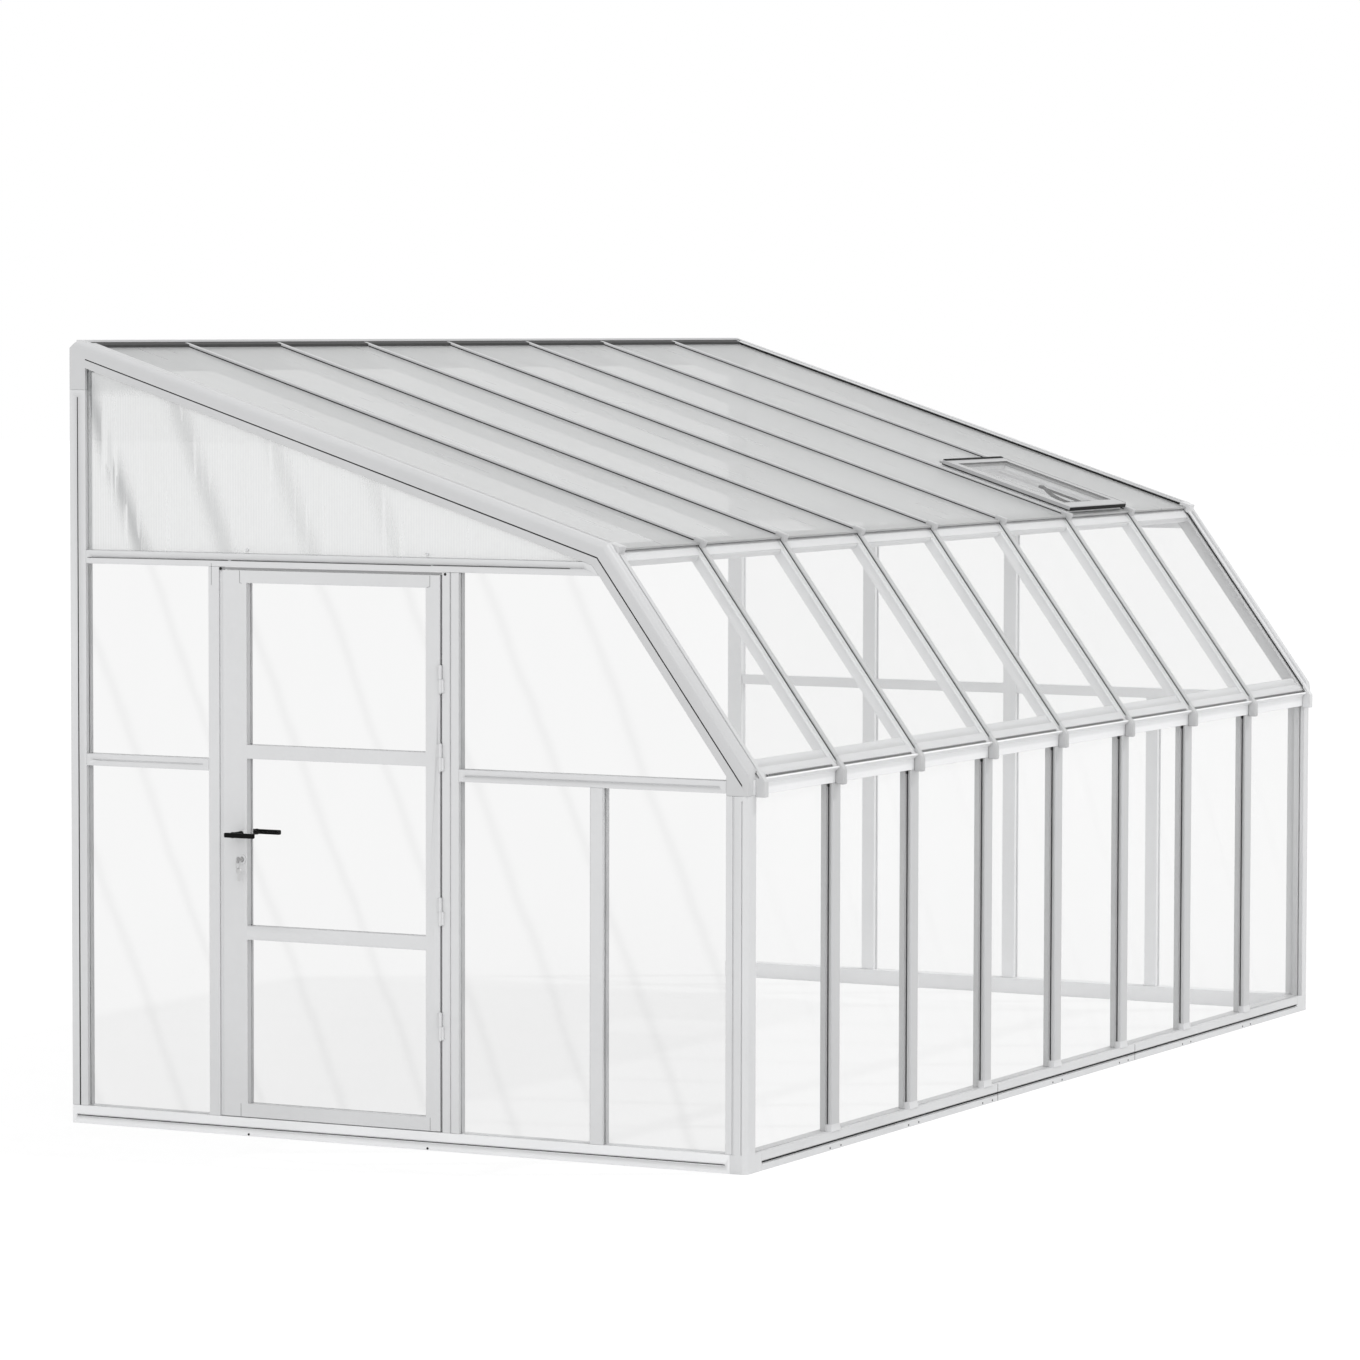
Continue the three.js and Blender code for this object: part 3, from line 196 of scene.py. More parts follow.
def kneePoints(lift):
    # where the two legs' surfaces of one lift meet
    half = (house["steepSlope"] - house["roofSlope"]) / 2
    middle = (house["steepSlope"] + house["roofSlope"]) / 2
    reach = np.asarray(lift, float) / math.cos(half)
    y = house["kneeDepth"] - reach * math.sin(middle)
    z = house["kneeHeight"] + reach * math.cos(middle)
    return np.stack([y, z], -1)


def onRoof(shape, middle=0.0):
    # a shape given as (x, run, lift) laid on the roof slope
    points = shape[0]
    flat = legPoints(house["roofSlope"], points[:, 1], points[:, 2])
    return np.column_stack([points[:, 0] + middle, flat]), shape[1], shape[2]


def barRings(section, eaveDepth, ridgeDepth):
    # a section of (x, lift) points at the eave, at the knee and at the ridge
    x, lift = section[:, 0], section[:, 1]
    eave = np.stack([np.full(len(x), eaveDepth), heightAt(house["steepSlope"], eaveDepth, lift)], -1)
    ridge = np.stack([np.full(len(x), ridgeDepth), heightAt(house["roofSlope"], ridgeDepth, lift)], -1)
    return [np.column_stack([x, flat]) for flat in (eave, kneePoints(lift), ridge)]


def barSweep(section, eaveDepth, ridgeDepth):
    return loft(barRings(section, eaveDepth, ridgeDepth))


def legSweep(slope, section, run0, run1):
    # a section of (x, lift) points carried along one leg
    x, lift = section[:, 0], section[:, 1]
    return loft([np.column_stack([x, legPoints(slope, run, lift)]) for run in (run0, run1)])


def rowSweep(section, x0, x1):
    # a section of (y, z) points carried along x
    return loft([np.column_stack([np.full(len(section), x), section]) for x in (x0, x1)])


def upSweep(section, z0, z1):
    # a section of (x, y) points carried up
    return loft([np.column_stack([section, np.full(len(section), z)]) for z in (z0, z1)])


def depthSweep(section, y0, y1):
    # a section of (x, z) points carried along y
    return loft([np.column_stack([section[:, 0], np.full(len(section), y), section[:, 1]]) for y in (y0, y1)])


def slotStrip(x0, x1, y0, z0, y1, z1, half):
    # a strip between two places along x, from point to point in (y, z)
    run = np.array([y1 - y0, z1 - z0])
    across = np.array([-run[1], run[0]]) / np.hypot(*run) * half
    rings = []
    for y, z in ((y0, z0), (y1, z1)):
        a, b = (y + across[0], z + across[1]), (y - across[0], z - across[1])
        rings.append([(x0, *a), (x0, *b), (x1, *b), (x1, *a)])
    return loft(rings)


def addPiece(name, shape, finish, body, smooth=35, replaces=()):
    # puts the arrays into a mesh, faces outward, smooth below the given angle
    points, quads, triangles = shape
    mesh = bpy.data.meshes.new(name)
    mesh.from_pydata((points + shift).tolist(), [], quads.tolist() + triangles.tolist())
    work = bmesh.new()
    work.from_mesh(mesh)
    bmesh.ops.remove_doubles(work, verts=work.verts, dist=1e-6)
    bmesh.ops.recalc_face_normals(work, faces=work.faces)
    work.to_mesh(mesh)
    work.free()
    return finishPiece(name, mesh, finish, body, smooth, replaces)


def finishPiece(name, mesh, finish, body, smooth, replaces=()):
    # one mesh as a piece with its finish and body
    mesh.polygons.foreach_set("use_smooth", np.ones(len(mesh.polygons), bool))
    mesh.set_sharp_from_angle(angle=math.radians(smooth))
    mesh.materials.clear()
    mesh.materials.append(finish)
    piece = bpy.data.objects.new(name, mesh)
    bpy.context.scene.collection.objects.link(piece)
    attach(piece, body)
    if replaces:
        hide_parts(*replaces)
    return piece


class Signal:
    # A node's output. Plain signs between signals and numbers add Math nodes.
    def __init__(self, tree, socket):
        self.tree = tree
        self.socket = socket

    def math(self, operation, *values):
        node = self.tree.nodes.new("ShaderNodeMath")
        node.operation = operation
        for place, value in zip(node.inputs, values):
            if isinstance(value, Signal):
                self.tree.links.new(value.socket, place)
            else:
                place.default_value = value
        return Signal(self.tree, node.outputs[0])

    def __add__(self, other):
        return self.math("ADD", self, other)

    def __radd__(self, other):
        return self.math("ADD", other, self)

    def __sub__(self, other):
        return self.math("SUBTRACT", self, other)

    def __mul__(self, other):
        return self.math("MULTIPLY", self, other)

    def __pow__(self, other):
        return self.math("POWER", self, other)

    def sine(self):
        return self.math("SINE", self)

    def exponent(self):
        return self.math("EXPONENT", self)

    def above(self, level):
        return self.math("GREATER_THAN", self, level)

    def clamped(self):
        return self.math("MINIMUM", self.math("MAXIMUM", self, 0.0), 1.0)


class Finish:
    # A material and the Principled shader that its colour, gloss and relief go to.
    def __init__(self, name, fixed):
        self.material = bpy.data.materials.new(name)
        self.material.use_nodes = True
        self.tree = self.material.node_tree
        self.shader = self.tree.nodes["Principled BSDF"]
        for socket, value in fixed.items():
            self.shader.inputs[socket].default_value = value

    def node(self, kind, settings=None, inputs=None, output=0):
        made = self.tree.nodes.new(kind)
        for key, value in (settings or {}).items():
            if key == "stops":
                for element, (position, colour) in zip(made.color_ramp.elements, value):
                    element.position, element.color = position, colour
            else:
                setattr(made, key, value)
        for key, value in (inputs or {}).items():
            self.feed(made.inputs[key], value)
        return Signal(self.tree, made.outputs[output])

    def feed(self, place, value):
        if isinstance(value, Signal):
            self.tree.links.new(value.socket, place)
        else:
            place.default_value = value

    def to(self, socket, value):
        self.feed(self.shader.inputs[socket], value)

    def place(self):
        return self.node("ShaderNodeTexCoord", output="Object")

    def stretched(self, scale):
        return self.node("ShaderNodeMapping", {"vector_type": "POINT"}, {"Vector": self.place(), "Scale": scale})

    def noise(self, scale, detail=3.0, vector=None):
        inputs = {"Vector": vector or self.place(), "Scale": scale, "Detail": detail}
        return self.node("ShaderNodeTexNoise", {}, inputs)

    def split(self):
        # the object's own x, y and z
        made = self.tree.nodes.new("ShaderNodeSeparateXYZ")
        self.feed(made.inputs[0], self.place())
        return [Signal(self.tree, made.outputs[k]) for k in range(3)]

    def blend(self, share, first, second):
        # two colours mixed by a share
        made = self.tree.nodes.new("ShaderNodeMix")
        made.data_type = "RGBA"
        self.feed(made.inputs["Factor"], share)
        for place, value in zip([s for s in made.inputs if s.type == "RGBA"], (first, second)):
            self.feed(place, value)
        return Signal(self.tree, [s for s in made.outputs if s.type == "RGBA"][0])

    def relief(self, height, strength, distance):
        inputs = {"Height": height, "Strength": strength, "Distance": distance}
        self.to("Normal", self.node("ShaderNodeBump", {}, inputs))


def grey(value, tint=(1.0, 1.0, 1.0)):
    return tuple(value * t for t in tint) + (1.0,)


resinLook = {"light": 0.64, "dark": 0.60, "tint": (0.985, 0.99, 1.0), "roughness": 0.38, "peel": 0.00012}


def whiteResin(name, light=None):
    # extruded white resin: faint clouds and dust in the tone, fine grain in gloss and relief
    light = light or resinLook["light"]
    finish = Finish(name, {"IOR": 1.5, "Coat Weight": 0.08, "Coat Roughness": 0.25})
    cloud = finish.noise(2.3, 4.0)
    grain = finish.noise(900.0, 2.0)
    dust = finish.noise(35.0, 5.0)
    dark = resinLook["dark"] / resinLook["light"] * light
    stops = [(0.3, grey(dark, resinLook["tint"])), (0.7, grey(light, resinLook["tint"]))]
    tone = finish.node("ShaderNodeValToRGB", {"stops": stops}, {"Fac": cloud * 0.75 + dust * 0.25})
    finish.to("Base Color", tone)
    finish.to("Roughness", resinLook["roughness"] + (cloud - 0.5) * 0.12 + (grain - 0.5) * 0.08)
    finish.relief(grain + dust * 0.6, 0.35, resinLook["peel"])
    return finish.material


paneLook = {"colour": 0.05, "roughness": 0.06, "specular": 0.12, "band": 0.32, "bandTilt": 0.42, "bandPower": 22.0}


def clearAcrylic(name, cover, reflectionCover, colour=paneLook["colour"]):
    # clear sheet: mostly see-through, with faint dust clouds and slanting bands of painted reflection that cover a
    # little more
    finish = Finish(name, {"IOR": 1.49, "Specular IOR Level": paneLook["specular"]})
    cloud = finish.noise(3.1, 5.0)
    streak = finish.noise(9.0, 3.0, finish.stretched((1.0, 1.0, 0.08)))
    x, y, z = finish.split()
    # painted reflection: slanting bands across the sheet that stand in for reflections of the bars
    slant = (y - x * 0.6 - z * paneLook["bandTilt"]) * (2 * math.pi / paneLook["band"]) + cloud * 1.3
    band = (slant.sine() * 0.5 + 0.5) ** paneLook["bandPower"]
    finish.to("Base Color", finish.blend(cloud, grey(colour * 0.94, (0.99, 1.0, 1.0)), grey(colour * 1.05)))
    finish.to("Roughness", paneLook["roughness"] + streak * 0.06)
    finish.to("Alpha", cover + (cloud - 0.5) * 0.010 + (streak - 0.5) * 0.006 + band * reflectionCover)
    finish.relief(cloud, 0.2, 0.0008)
    return finish.material


# Painted shades as (place, width, depth), the painted dark corner's height and reach as (start, fade).
sheetLook = {
    "flute": 0.010, "roughness": 0.3, "shadeTilt": 0.40, "shadeTone": 0.30,
    "shades": [(0.240, 0.034, 1.0), (-0.095, 0.040, 0.50), (-0.420, 0.040, 0.32), (-0.750, 0.040, 0.25)],
    "cornerHeight": (2.450, 0.035), "cornerReach": (0.88, 0.20), "cornerDepth": 0.45,
}


def twinWall(name, axis, colour, cover, streakShare, shades=()):
    # twin-wall sheet: flutes side by side along one axis, height = sine of the place x 2 pi / flute
    finish = Finish(name, {"IOR": 1.55, "Coat Weight": 0.15, "Coat Roughness": 0.12})
    along = finish.split()[axis]
    wave = (along * (2 * math.pi / sheetLook["flute"])).sine()
    wall = (wave * 0.5 + 0.5) ** 6.0
    cloud = finish.noise(1.7, 4.0)
    scale = (1.0, 1.0, 0.05) if axis == 1 else (1.0, 0.1, 0.1)
    streak = finish.noise(28.0, 3.0, finish.stretched(scale))
    share = wall * 0.25 + cloud * (0.75 - streakShare) + streak * streakShare
    tone = finish.blend(share, grey(colour * 0.94, (0.975, 0.995, 1.0)), grey(colour * 1.06, (0.995, 1.0, 0.995)))
    if shades:
        # painted shade: slanting shadows of the bars behind the sheet, each e to the minus square of the distance
        # from its slant over its width, and a painted darker corner under the verge, where both the height and the
        # depth are past their starts
        x, y, z = finish.split()
        shade = 0.0
        for place, width, depth in shades:
            away = (y - z * sheetLook["shadeTilt"] - place) * (1 / width)
            shade = (away * away * -1.0).exponent() * depth + shade
        shade = shade * streak.above(0.42)
        (height, heightFade), (reach, reachFade) = sheetLook["cornerHeight"], sheetLook["cornerReach"]
        cornerShade = ((z - height) * (1 / heightFade)).clamped() * ((y - reach) * (1 / reachFade)).clamped()
        shade = (shade + cornerShade * sheetLook["cornerDepth"]).clamped()
        tone = finish.blend(shade, tone, grey(colour * sheetLook["shadeTone"], (0.93, 0.98, 1.0)))
    finish.to("Base Color", tone)
    finish.to("Roughness", sheetLook["roughness"] + (streak - 0.5) * 0.15)
    finish.to("Alpha", cover + wall * 0.03 + (cloud - 0.5) * 0.03 + (streak - 0.5) * streakShare * 0.2)
    finish.relief(wall + streak * 0.3, 0.4, 0.0004)
    return finish.material


def blackMoulding(name, tone, roughness, grainScale):
    # dark rubber or plastic: fine grain in the relief, rubbed patches in tone and gloss
    finish = Finish(name, {"IOR": 1.5, "Specular IOR Level": 0.06})
    grain = finish.noise(grainScale, 3.0)
    rub = finish.noise(40.0, 4.0)
    finish.to("Base Color", finish.blend(rub, grey(tone * 0.75), grey(tone * 1.4)))
    finish.to("Roughness", roughness + (rub - 0.5) * 0.2)
    finish.relief(grain, 0.4, 0.00015)
    return finish.material


def brushedSteel(name):
    # steel brushed along y: fine lines in gloss and relief, faint stains in tone
    finish = Finish(name, {"IOR": 2.5})
    brush = finish.noise(260.0, 3.0, finish.stretched((1.0, 0.06, 1.0)))
    stain = finish.noise(30.0, 4.0)
    finish.to("Base Color", finish.blend(stain, grey(0.42), grey(0.62)))
    finish.to("Metallic", 0.9 + (stain - 0.5) * 0.2)
    finish.to("Roughness", 0.26 + brush * 0.2)
    finish.relief(brush, 0.3, 0.0001)
    return finish.material


# whiteResin: name, tone. clearAcrylic: name, cover, what the painted reflection bands add to it, tone.
# twinWall: name, axis across the flutes, tone, cover, share of the streaks, painted shades of the bars behind it.
finishes = {
    "resin": whiteResin("whiteResin"),
    # every resin from here on is a lighter or darker copy of the same white resin that paints light or shade:
    # lighter ones paint light into the inner members, the base's near end and the eave rail, darker ones paint
    # shade onto the lid frame, bar caps, near verge and front posts, and the darkest paints shadow lines at the
    # door
    "lid": whiteResin("lidResin", 0.43),
    "cap": whiteResin("capResin", 0.465),
    "verge": whiteResin("vergeResin", 0.555),
    "post": whiteResin("postResin", 0.525),
    "pale": whiteResin("paleResin", 0.82),
    "inner": whiteResin("innerResin", 0.92),
    "shade": whiteResin("shadeResin", 0.27),
    "pane": clearAcrylic("clearAcrylic", 0.070, 0.026),
    "steepPane": clearAcrylic("steepAcrylic", 0.140, 0.004, 0.46),
    "frontPane": clearAcrylic("frontAcrylic", 0.100, 0.008, 0.54),
    "farPane": clearAcrylic("farAcrylic", 0.020, 0.0),
    "ventPane": clearAcrylic("ventAcrylic", 0.22, 0.0, 0.29),
    "roof": twinWall("twinWallRoof", 0, 0.515, 0.62, 0.08),
    "gable": twinWall("twinWallGable", 1, 0.64, 0.36, 0.5, sheetLook["shades"]),
    "farGable": twinWall("twinWallFarGable", 1, 0.64, 0.36, 0.2),
    "seal": blackMoulding("greySeal", 0.06, 0.6, 700.0),
    "handle": blackMoulding("blackHandle", 0.004, 0.5, 1500.0),
    "rubber": blackMoulding("blackRubber", 0.02, 0.7, 700.0),
    "steel": brushedSteel("brushedSteel"),
}
print("finishes written")


softEdge = {"width": 0.0014, "angle": 40, "shortest": 0.012, "narrowest": 0.0035}


def softenedCopy(nodeName, finish="resin"):
    # a copy of a resin node whose long outer edges are rounded over
    source = frame["nodes"][nodeName]
    mesh = source.data.copy()
    work = bmesh.new()
    work.from_mesh(mesh)
    bmesh.ops.remove_doubles(work, verts=work.verts, dist=2e-6)
    bmesh.ops.dissolve_limit(work, angle_limit=math.radians(0.4), verts=work.verts, edges=work.edges)
    bmesh.ops.recalc_face_normals(work, faces=work.faces)
    weight = work.edges.layers.float.new("bevel_weight_edge")
    for edge in work.edges:
        if len(edge.link_faces) != 2:
            continue
        length = edge.calc_length()
        turn = edge.calc_face_angle_signed()
        room = min(face.calc_area() for face in edge.link_faces) / max(length, 1e-9)
        wide = length > softEdge["shortest"] and room > softEdge["narrowest"]
        if turn > math.radians(softEdge["angle"]) and wide:
            edge[weight] = 1.0
    work.to_mesh(mesh)
    work.free()
    name = "".join(part.capitalize() if k else part for k, part in enumerate(nodeName.split("_")))
    piece = finishPiece(name, mesh, finishes[finish], source["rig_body"], 35, [nodeName])
    bevel = piece.modifiers.new("softEdge", "BEVEL")
    bevel.width = softEdge["width"]
    bevel.segments = 2
    bevel.limit_method = "WEIGHT"
    bevel.use_clamp_overlap = False
    bevel.harden_normals = True
    return piece


shownNodes = {
    "pane": ["near_panes_wall_side", "near_panes_front", "door_pane"],
    "steepPane": ["slant_panes"],
    "frontPane": ["front_panes"],
    "farPane": ["far_panes"],
    "ventPane": ["vent_pane"],
    "roof": ["roof_sheets"],
    "gable": ["gable_sheet_near"],
    "farGable": ["gable_sheet_far"],
    "steel": ["latch_bolt", "deadbolt", "lock_cylinder", "key"],
    "seal": ["ridge_seal"],
}
for look, names in shownNodes.items():
    for nodeName in names:
        for place in frame["nodes"][nodeName].material_slots:
            place.material = finishes[look]
dressed = {nodeName for names in shownNodes.values() for nodeName in names}
inBetween = range(1, house["bays"])  # the bars and posts between the two ends
rebuilt = {"outer_handle", "inner_handle", "vent_stay"} | {"rafter_" + str(index) for index in inBetween}
# nodes that take a lighter or darker copy of the white resin, which paints light or shade onto them
litAndShadedTones = {
    "lid": ["vent_frame"],
    "verge": ["verge_bar_near"],
    "post": ["front_post_" + str(index) for index in inBetween],
    "inner": [
        "far_post_1", "far_post_2", "far_short_post", "crossbar_far", "mid_rail_far",
        "wall_post_far", "base_far_end", "knee_rail", "vent_curb",
    ],
    "pale": ["base_near_end", "eave_rail"],
}
toned = {nodeName: look for look, names in litAndShadedTones.items() for nodeName in names}
for nodeName in frame["nodes"]:
    if nodeName not in dressed | rebuilt:
        softenedCopy(nodeName, toned.get(nodeName, "resin"))
print("CAD nodes finished")


barForm = {
    "capHalf": 0.012, "capTop": 0.010, "capRound": 0.0035, "capStop": 0.009,
    "neckInset": 0.0003, "neckRound": 0.0005,
    "flangeHalf": 0.031, "flangeDepth": 0.0123, "flangeTop": 0.0066, "flangeRound": 0.0012,
    "stemHalf": 0.010, "stemDepth": 0.050, "stemRound": 0.0015, "overlap": 0.001, "fit": 0.0003,
}
nubForm = {
    "half": 0.013, "round": 0.005, "kneeRun": (-0.036, 0.008), "kneeLift": (-0.019, 0.013),
    "eaveDepth": (-0.032, -0.0003), "eaveDrop": 0.0057,
}


def nubShape(x0, x1):
    # the rounded end pieces of a bar: one over the knee, one past the eave rail
    knee = onRoof(softBox(x0, x1, *nubForm["kneeRun"], *nubForm["kneeLift"], nubForm["round"]))
    low = eaveHeight - nubForm["eaveDrop"]
    # a box one metre high, whose lower half is then put at the eave and its upper half under the cap's slope
    block = softBox(x0, x1, *nubForm["eaveDepth"], 0.0, 1.0, nubForm["round"])
    points = block[0].copy()
    top = heightAt(house["steepSlope"], points[:, 1], barForm["capTop"])
    lowRise = np.minimum(points[:, 2], 0.5)
    highRise = np.maximum(points[:, 2] - 1.0, -0.5)
    points[:, 2] = np.where(block[0][:, 2] < 0.5, low + lowRise, top + highRise)
    return merged(knee, (points, block[1], block[2]))


def rafterShape(middle):
    # a bar in two shapes: the cap with its end pieces outside, the neck, flange and stem inside
    b = barForm
    ridge = ridgeFace - b["fit"]
    neckHalf = b["capHalf"] - b["neckInset"]
    stemTop = -b["flangeDepth"] + b["overlap"]
    cap = roundedRectangle(-b["capHalf"], b["capHalf"], -b["overlap"], b["capTop"], b["capRound"])
    neck = roundedRectangle(-neckHalf, neckHalf, -b["flangeDepth"], 0.0, b["neckRound"])
    flangeLifts = (-b["flangeDepth"], -b["flangeTop"])
    flange = roundedRectangle(-b["flangeHalf"], b["flangeHalf"], *flangeLifts, b["flangeRound"])
    stem = roundedRectangle(-b["stemHalf"], b["stemHalf"], -b["stemDepth"], stemTop, b["stemRound"])
    outer = merged(barSweep(cap, -b["fit"], ridge - b["capStop"]), nubShape(-nubForm["half"], nubForm["half"]))
    inner = merged(
        barSweep(neck, -b["fit"], ridge),
        barSweep(flange, -b["fit"], ridge),
        barSweep(stem, house["memberDepth"] + b["fit"], ridge),
    )
    return [(shape[0] + [middle, 0, 0], shape[1], shape[2]) for shape in (outer, inner)]


# the bars inside take the lighter resin that paints light into the interior, their caps the darker one that paints
# shade
outers = []
for index in inBetween:
    outer, inner = rafterShape(barMiddle(index))
    outers.append(outer)
    bar, node = "glazingBar" + str(index), "rafter_" + str(index)
    addPiece(bar, inner, finishes["inner"], "frame", replaces=[node])
addPiece("barCaps", merged(*outers), finishes["cap"], "frame")

gasketForm = {
    "thick": 0.0013, "foot": 0.0002, "round": 0.0006, "roofRise": 0.0034, "steepRise": 0.0036,
    "ridgeGap": 0.012, "kneeGap": (0.004, 0.006), "vergeSides": (0.058, 0.080), "farRise": 0.0075,
}


def capGasket(x, side, roofRise=gasketForm["roofRise"]):
    # the black lip along one side of a bar's cap, over both legs
    g = gasketForm
    x0, x1 = sorted((x, x + side * g["thick"]))
    roof = roundedRectangle(x0, x1, g["foot"], roofRise, g["round"], 2)
    steep = roundedRectangle(x0, x1, g["foot"], g["steepRise"], g["round"], 2)
    roofStart, steepStop = g["kneeGap"]
    roofEnd = (ridgeFace - house["kneeDepth"]) / math.cos(house["roofSlope"]) - g["ridgeGap"]
    steepEnd = -house["kneeDepth"] / math.cos(house["steepSlope"])
    return merged(
        legSweep(house["roofSlope"], roof, roofStart, roofEnd),
        legSweep(house["steepSlope"], steep, steepEnd, -steepStop),
    )


strips = []
for index in inBetween:
    strips.append(capGasket(barMiddle(index) - barForm["capHalf"], -1))
    strips.append(capGasket(barMiddle(index) + barForm["capHalf"], 1))
vergeOuter, vergeInner = gasketForm["vergeSides"]
strips.append(capGasket(vergeOuter, -1))
strips.append(capGasket(vergeInner, 1))
strips.append(capGasket(houseLength - vergeInner, -1, gasketForm["farRise"]))
strips.append(capGasket(houseLength - vergeOuter, 1))
addPiece("capGaskets", merged(*strips), finishes["rubber"], "frame")
print("glazing bars built")

# The slots of the front posts. The lips and the plug are given by the two depths they lie between.
slotForm = {
    "reach": (0.0178, 0.0290), "start": 0.079, "round": 0.0005,
    "blackLip": (0.0140, 0.0162), "outerLip": (0.0126, 0.0139), "innerLip": (0.0198, 0.0231),
    "plug": (0.0127, 0.0233), "plugHeight": 0.015, "plugGap": 0.0006, "plugRound": 0.003, "overlap": 0.002,
}


def slotGasket(x0, x1, y0, y1, z0, z1):
    return upSweep(roundedRectangle(x0, x1, y0, y1, slotForm["round"], 2), z0, z1)


def postGaskets(middle):
    # what closes both sides of the slot in a front post: a black lip and its plug, and white lips around them
    black, white = [], []
    start, end = slotForm["start"], eaveHeight - slotForm["plugHeight"]
    for side in (-1, 1):
        x0, x1 = sorted(middle + side * reach for reach in slotForm["reach"])
        black.append(slotGasket(x0, x1, *slotForm["blackLip"], start, eaveHeight))
        plugTop = eaveHeight - slotForm["plugGap"]
        black.append(softBox(x0, x1, *slotForm["plug"], end, plugTop, slotForm["plugRound"]))
        for lip in ("outerLip", "innerLip"):
            white.append(slotGasket(x0, x1, *slotForm[lip], start, end + slotForm["overlap"]))
    return black, white


blackLips, whiteLips = [], []
for index in inBetween:
    black, white = postGaskets(barMiddle(index))
    blackLips += black
    whiteLips += white
addPiece("postGaskets", merged(*blackLips), finishes["rubber"], "frame")
# the white lips take the front posts' darker resin, which paints shade
addPiece("slotLips", merged(*whiteLips), finishes["post"], "frame")

grooveForm = {
    "half": 0.0014, "back": 0.0036, "front": 0.0012, "lift": -0.040, "eaveDepth": 0.020, "ridgeDepth": 2.487,
    "foot": 0.0613, "postEnd": 0.0245, "cornerDepth": 0.051,
}


def gableGroove(points):
    # the beads in a groove of the gable face, from point to point in (y, z)
    front, back = grooveForm["front"], grooveForm["back"]
    pairs = zip(points[:-1], points[1:])
    return [slotStrip(front, back, *first, *second, grooveForm["half"]) for first, second in pairs]


def onBothGables(shapes):
    # the shapes of the near gable, then the same ones at the far gable
    return shapes + [mirroredX(shape, houseLength / 2) for shape in shapes]


eaveDepth, ridgeDepth = grooveForm["eaveDepth"], grooveForm["ridgeDepth"]
vergeLine = [
    (eaveDepth, heightAt(house["steepSlope"], eaveDepth, grooveForm["lift"])),
    kneePoints(grooveForm["lift"]),
    (ridgeDepth, heightAt(house["roofSlope"], ridgeDepth, grooveForm["lift"])),
]
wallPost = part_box("wall_post_near")
postDepth = (wallPost[0].y + wallPost[1].y) / 2 - corner.y
postLine = [(postDepth, grooveForm["foot"]), (postDepth, wallPost[1].z - grooveForm["postEnd"])]
grooves = onBothGables(gableGroove(vergeLine) + gableGroove(postLine))
addPiece("gableGrooveBeads", merged(*grooves), finishes["rubber"], "frame")
cornerLine = [(grooveForm["cornerDepth"], grooveForm["foot"]), (grooveForm["cornerDepth"], eaveHeight)]
cornerBeads = onBothGables(gableGroove(cornerLine))
addPiece("cornerGrooveBeads", merged(*cornerBeads), finishes["resin"], "frame")

seamForm = {
    "low": 0.0250, "high": 0.0290, "back": 0.0058, "front": 0.0030, "round": 0.0008, "margin": 0.118,
    "endLow": 0.0258, "endHigh": 0.0280, "endRound": 0.0006, "endDepth": (0.079, 2.530),
}
s = seamForm
longSection = roundedRectangle(s["front"], s["back"], s["low"], s["high"], s["round"], 2)
endSection = roundedRectangle(s["front"], s["back"], s["endLow"], s["endHigh"], s["endRound"], 2)
seams = [rowSweep(longSection, s["margin"], houseLength - s["margin"])]
seams += onBothGables([depthSweep(endSection, *s["endDepth"])])
addPiece("baseSeamBeads", merged(*seams), finishes["rubber"], "frame")
print("gaskets and beads built")


# dark ticks along the foot of the steep sheets: painted shade where the sheets' flute ends meet the eave rail
combForm = {
    "pitch": 0.0182, "width": 0.0080, "height": 0.0095, "lifts": (0.0001, 0.0006),
    "toe": 0.012, "gap": 0.036,
}
low, high = combForm["lifts"]
toothSection = np.array([[0, low], [combForm["width"], low], [combForm["width"], high], [0, high]])
toeRun = -(house["kneeDepth"] + combForm["toe"]) / math.cos(house["steepSlope"])
tick = legSweep(house["steepSlope"], toothSection, toeRun, toeRun + combForm["height"])
offsets = []
for index in range(house["bays"]):
    first = barMiddle(index) + combForm["gap"]
    last = barMiddle(index + 1) - combForm["gap"]
    count = int((last - first) / combForm["pitch"])
    offsets.append(np.column_stack([first + np.arange(count) * combForm["pitch"], np.zeros((count, 2))]))
addPiece("eaveComb", repeated(tick, np.concatenate(offsets)), finishes["rubber"], "frame")

trimForm = {
    "overhang": 0.020, "sheet": 0.006, "wall": 0.0010, "lip": 0.0032, "play": 0.0002,
    "beadRise": 0.0020, "beadWidth": 0.004, "beadRound": 0.0008, "vergeGap": 0.090, "barGap": 0.0142,
}


def sheetTrim(x0, x1):
    # a thin channel round the lower edge of a roof sheet, as (run, lift) points of its section
    t = trimForm
    run0, run1 = -t["overhang"] - t["wall"], -t["overhang"] + t["lip"]
    low, high = -t["sheet"] - t["wall"], t["wall"]
    inside = run0 + t["wall"]
    lower, upper = low + t["wall"] - t["play"], high - t["wall"] + t["play"]
    section = [(run0, low), (run0, high), (run1, high), (run1, upper), (inside, upper), (inside, lower)]
    section = np.array(section + [(run1, lower), (run1, low)])
    flat = legPoints(house["roofSlope"], section[:, 0], section[:, 1])
    points = np.concatenate([np.column_stack([np.full(len(flat), x), flat]) for x in (x0, x1)])
    quads = gridQuads(2, len(flat), True)
    ends = np.array([[0, 1, 4], [1, 2, 3], [1, 3, 4], [0, 4, 5], [0, 5, 6], [0, 6, 7]])
    return points, quads, np.concatenate([ends, ends[:, ::-1] + len(flat)])


trims = []
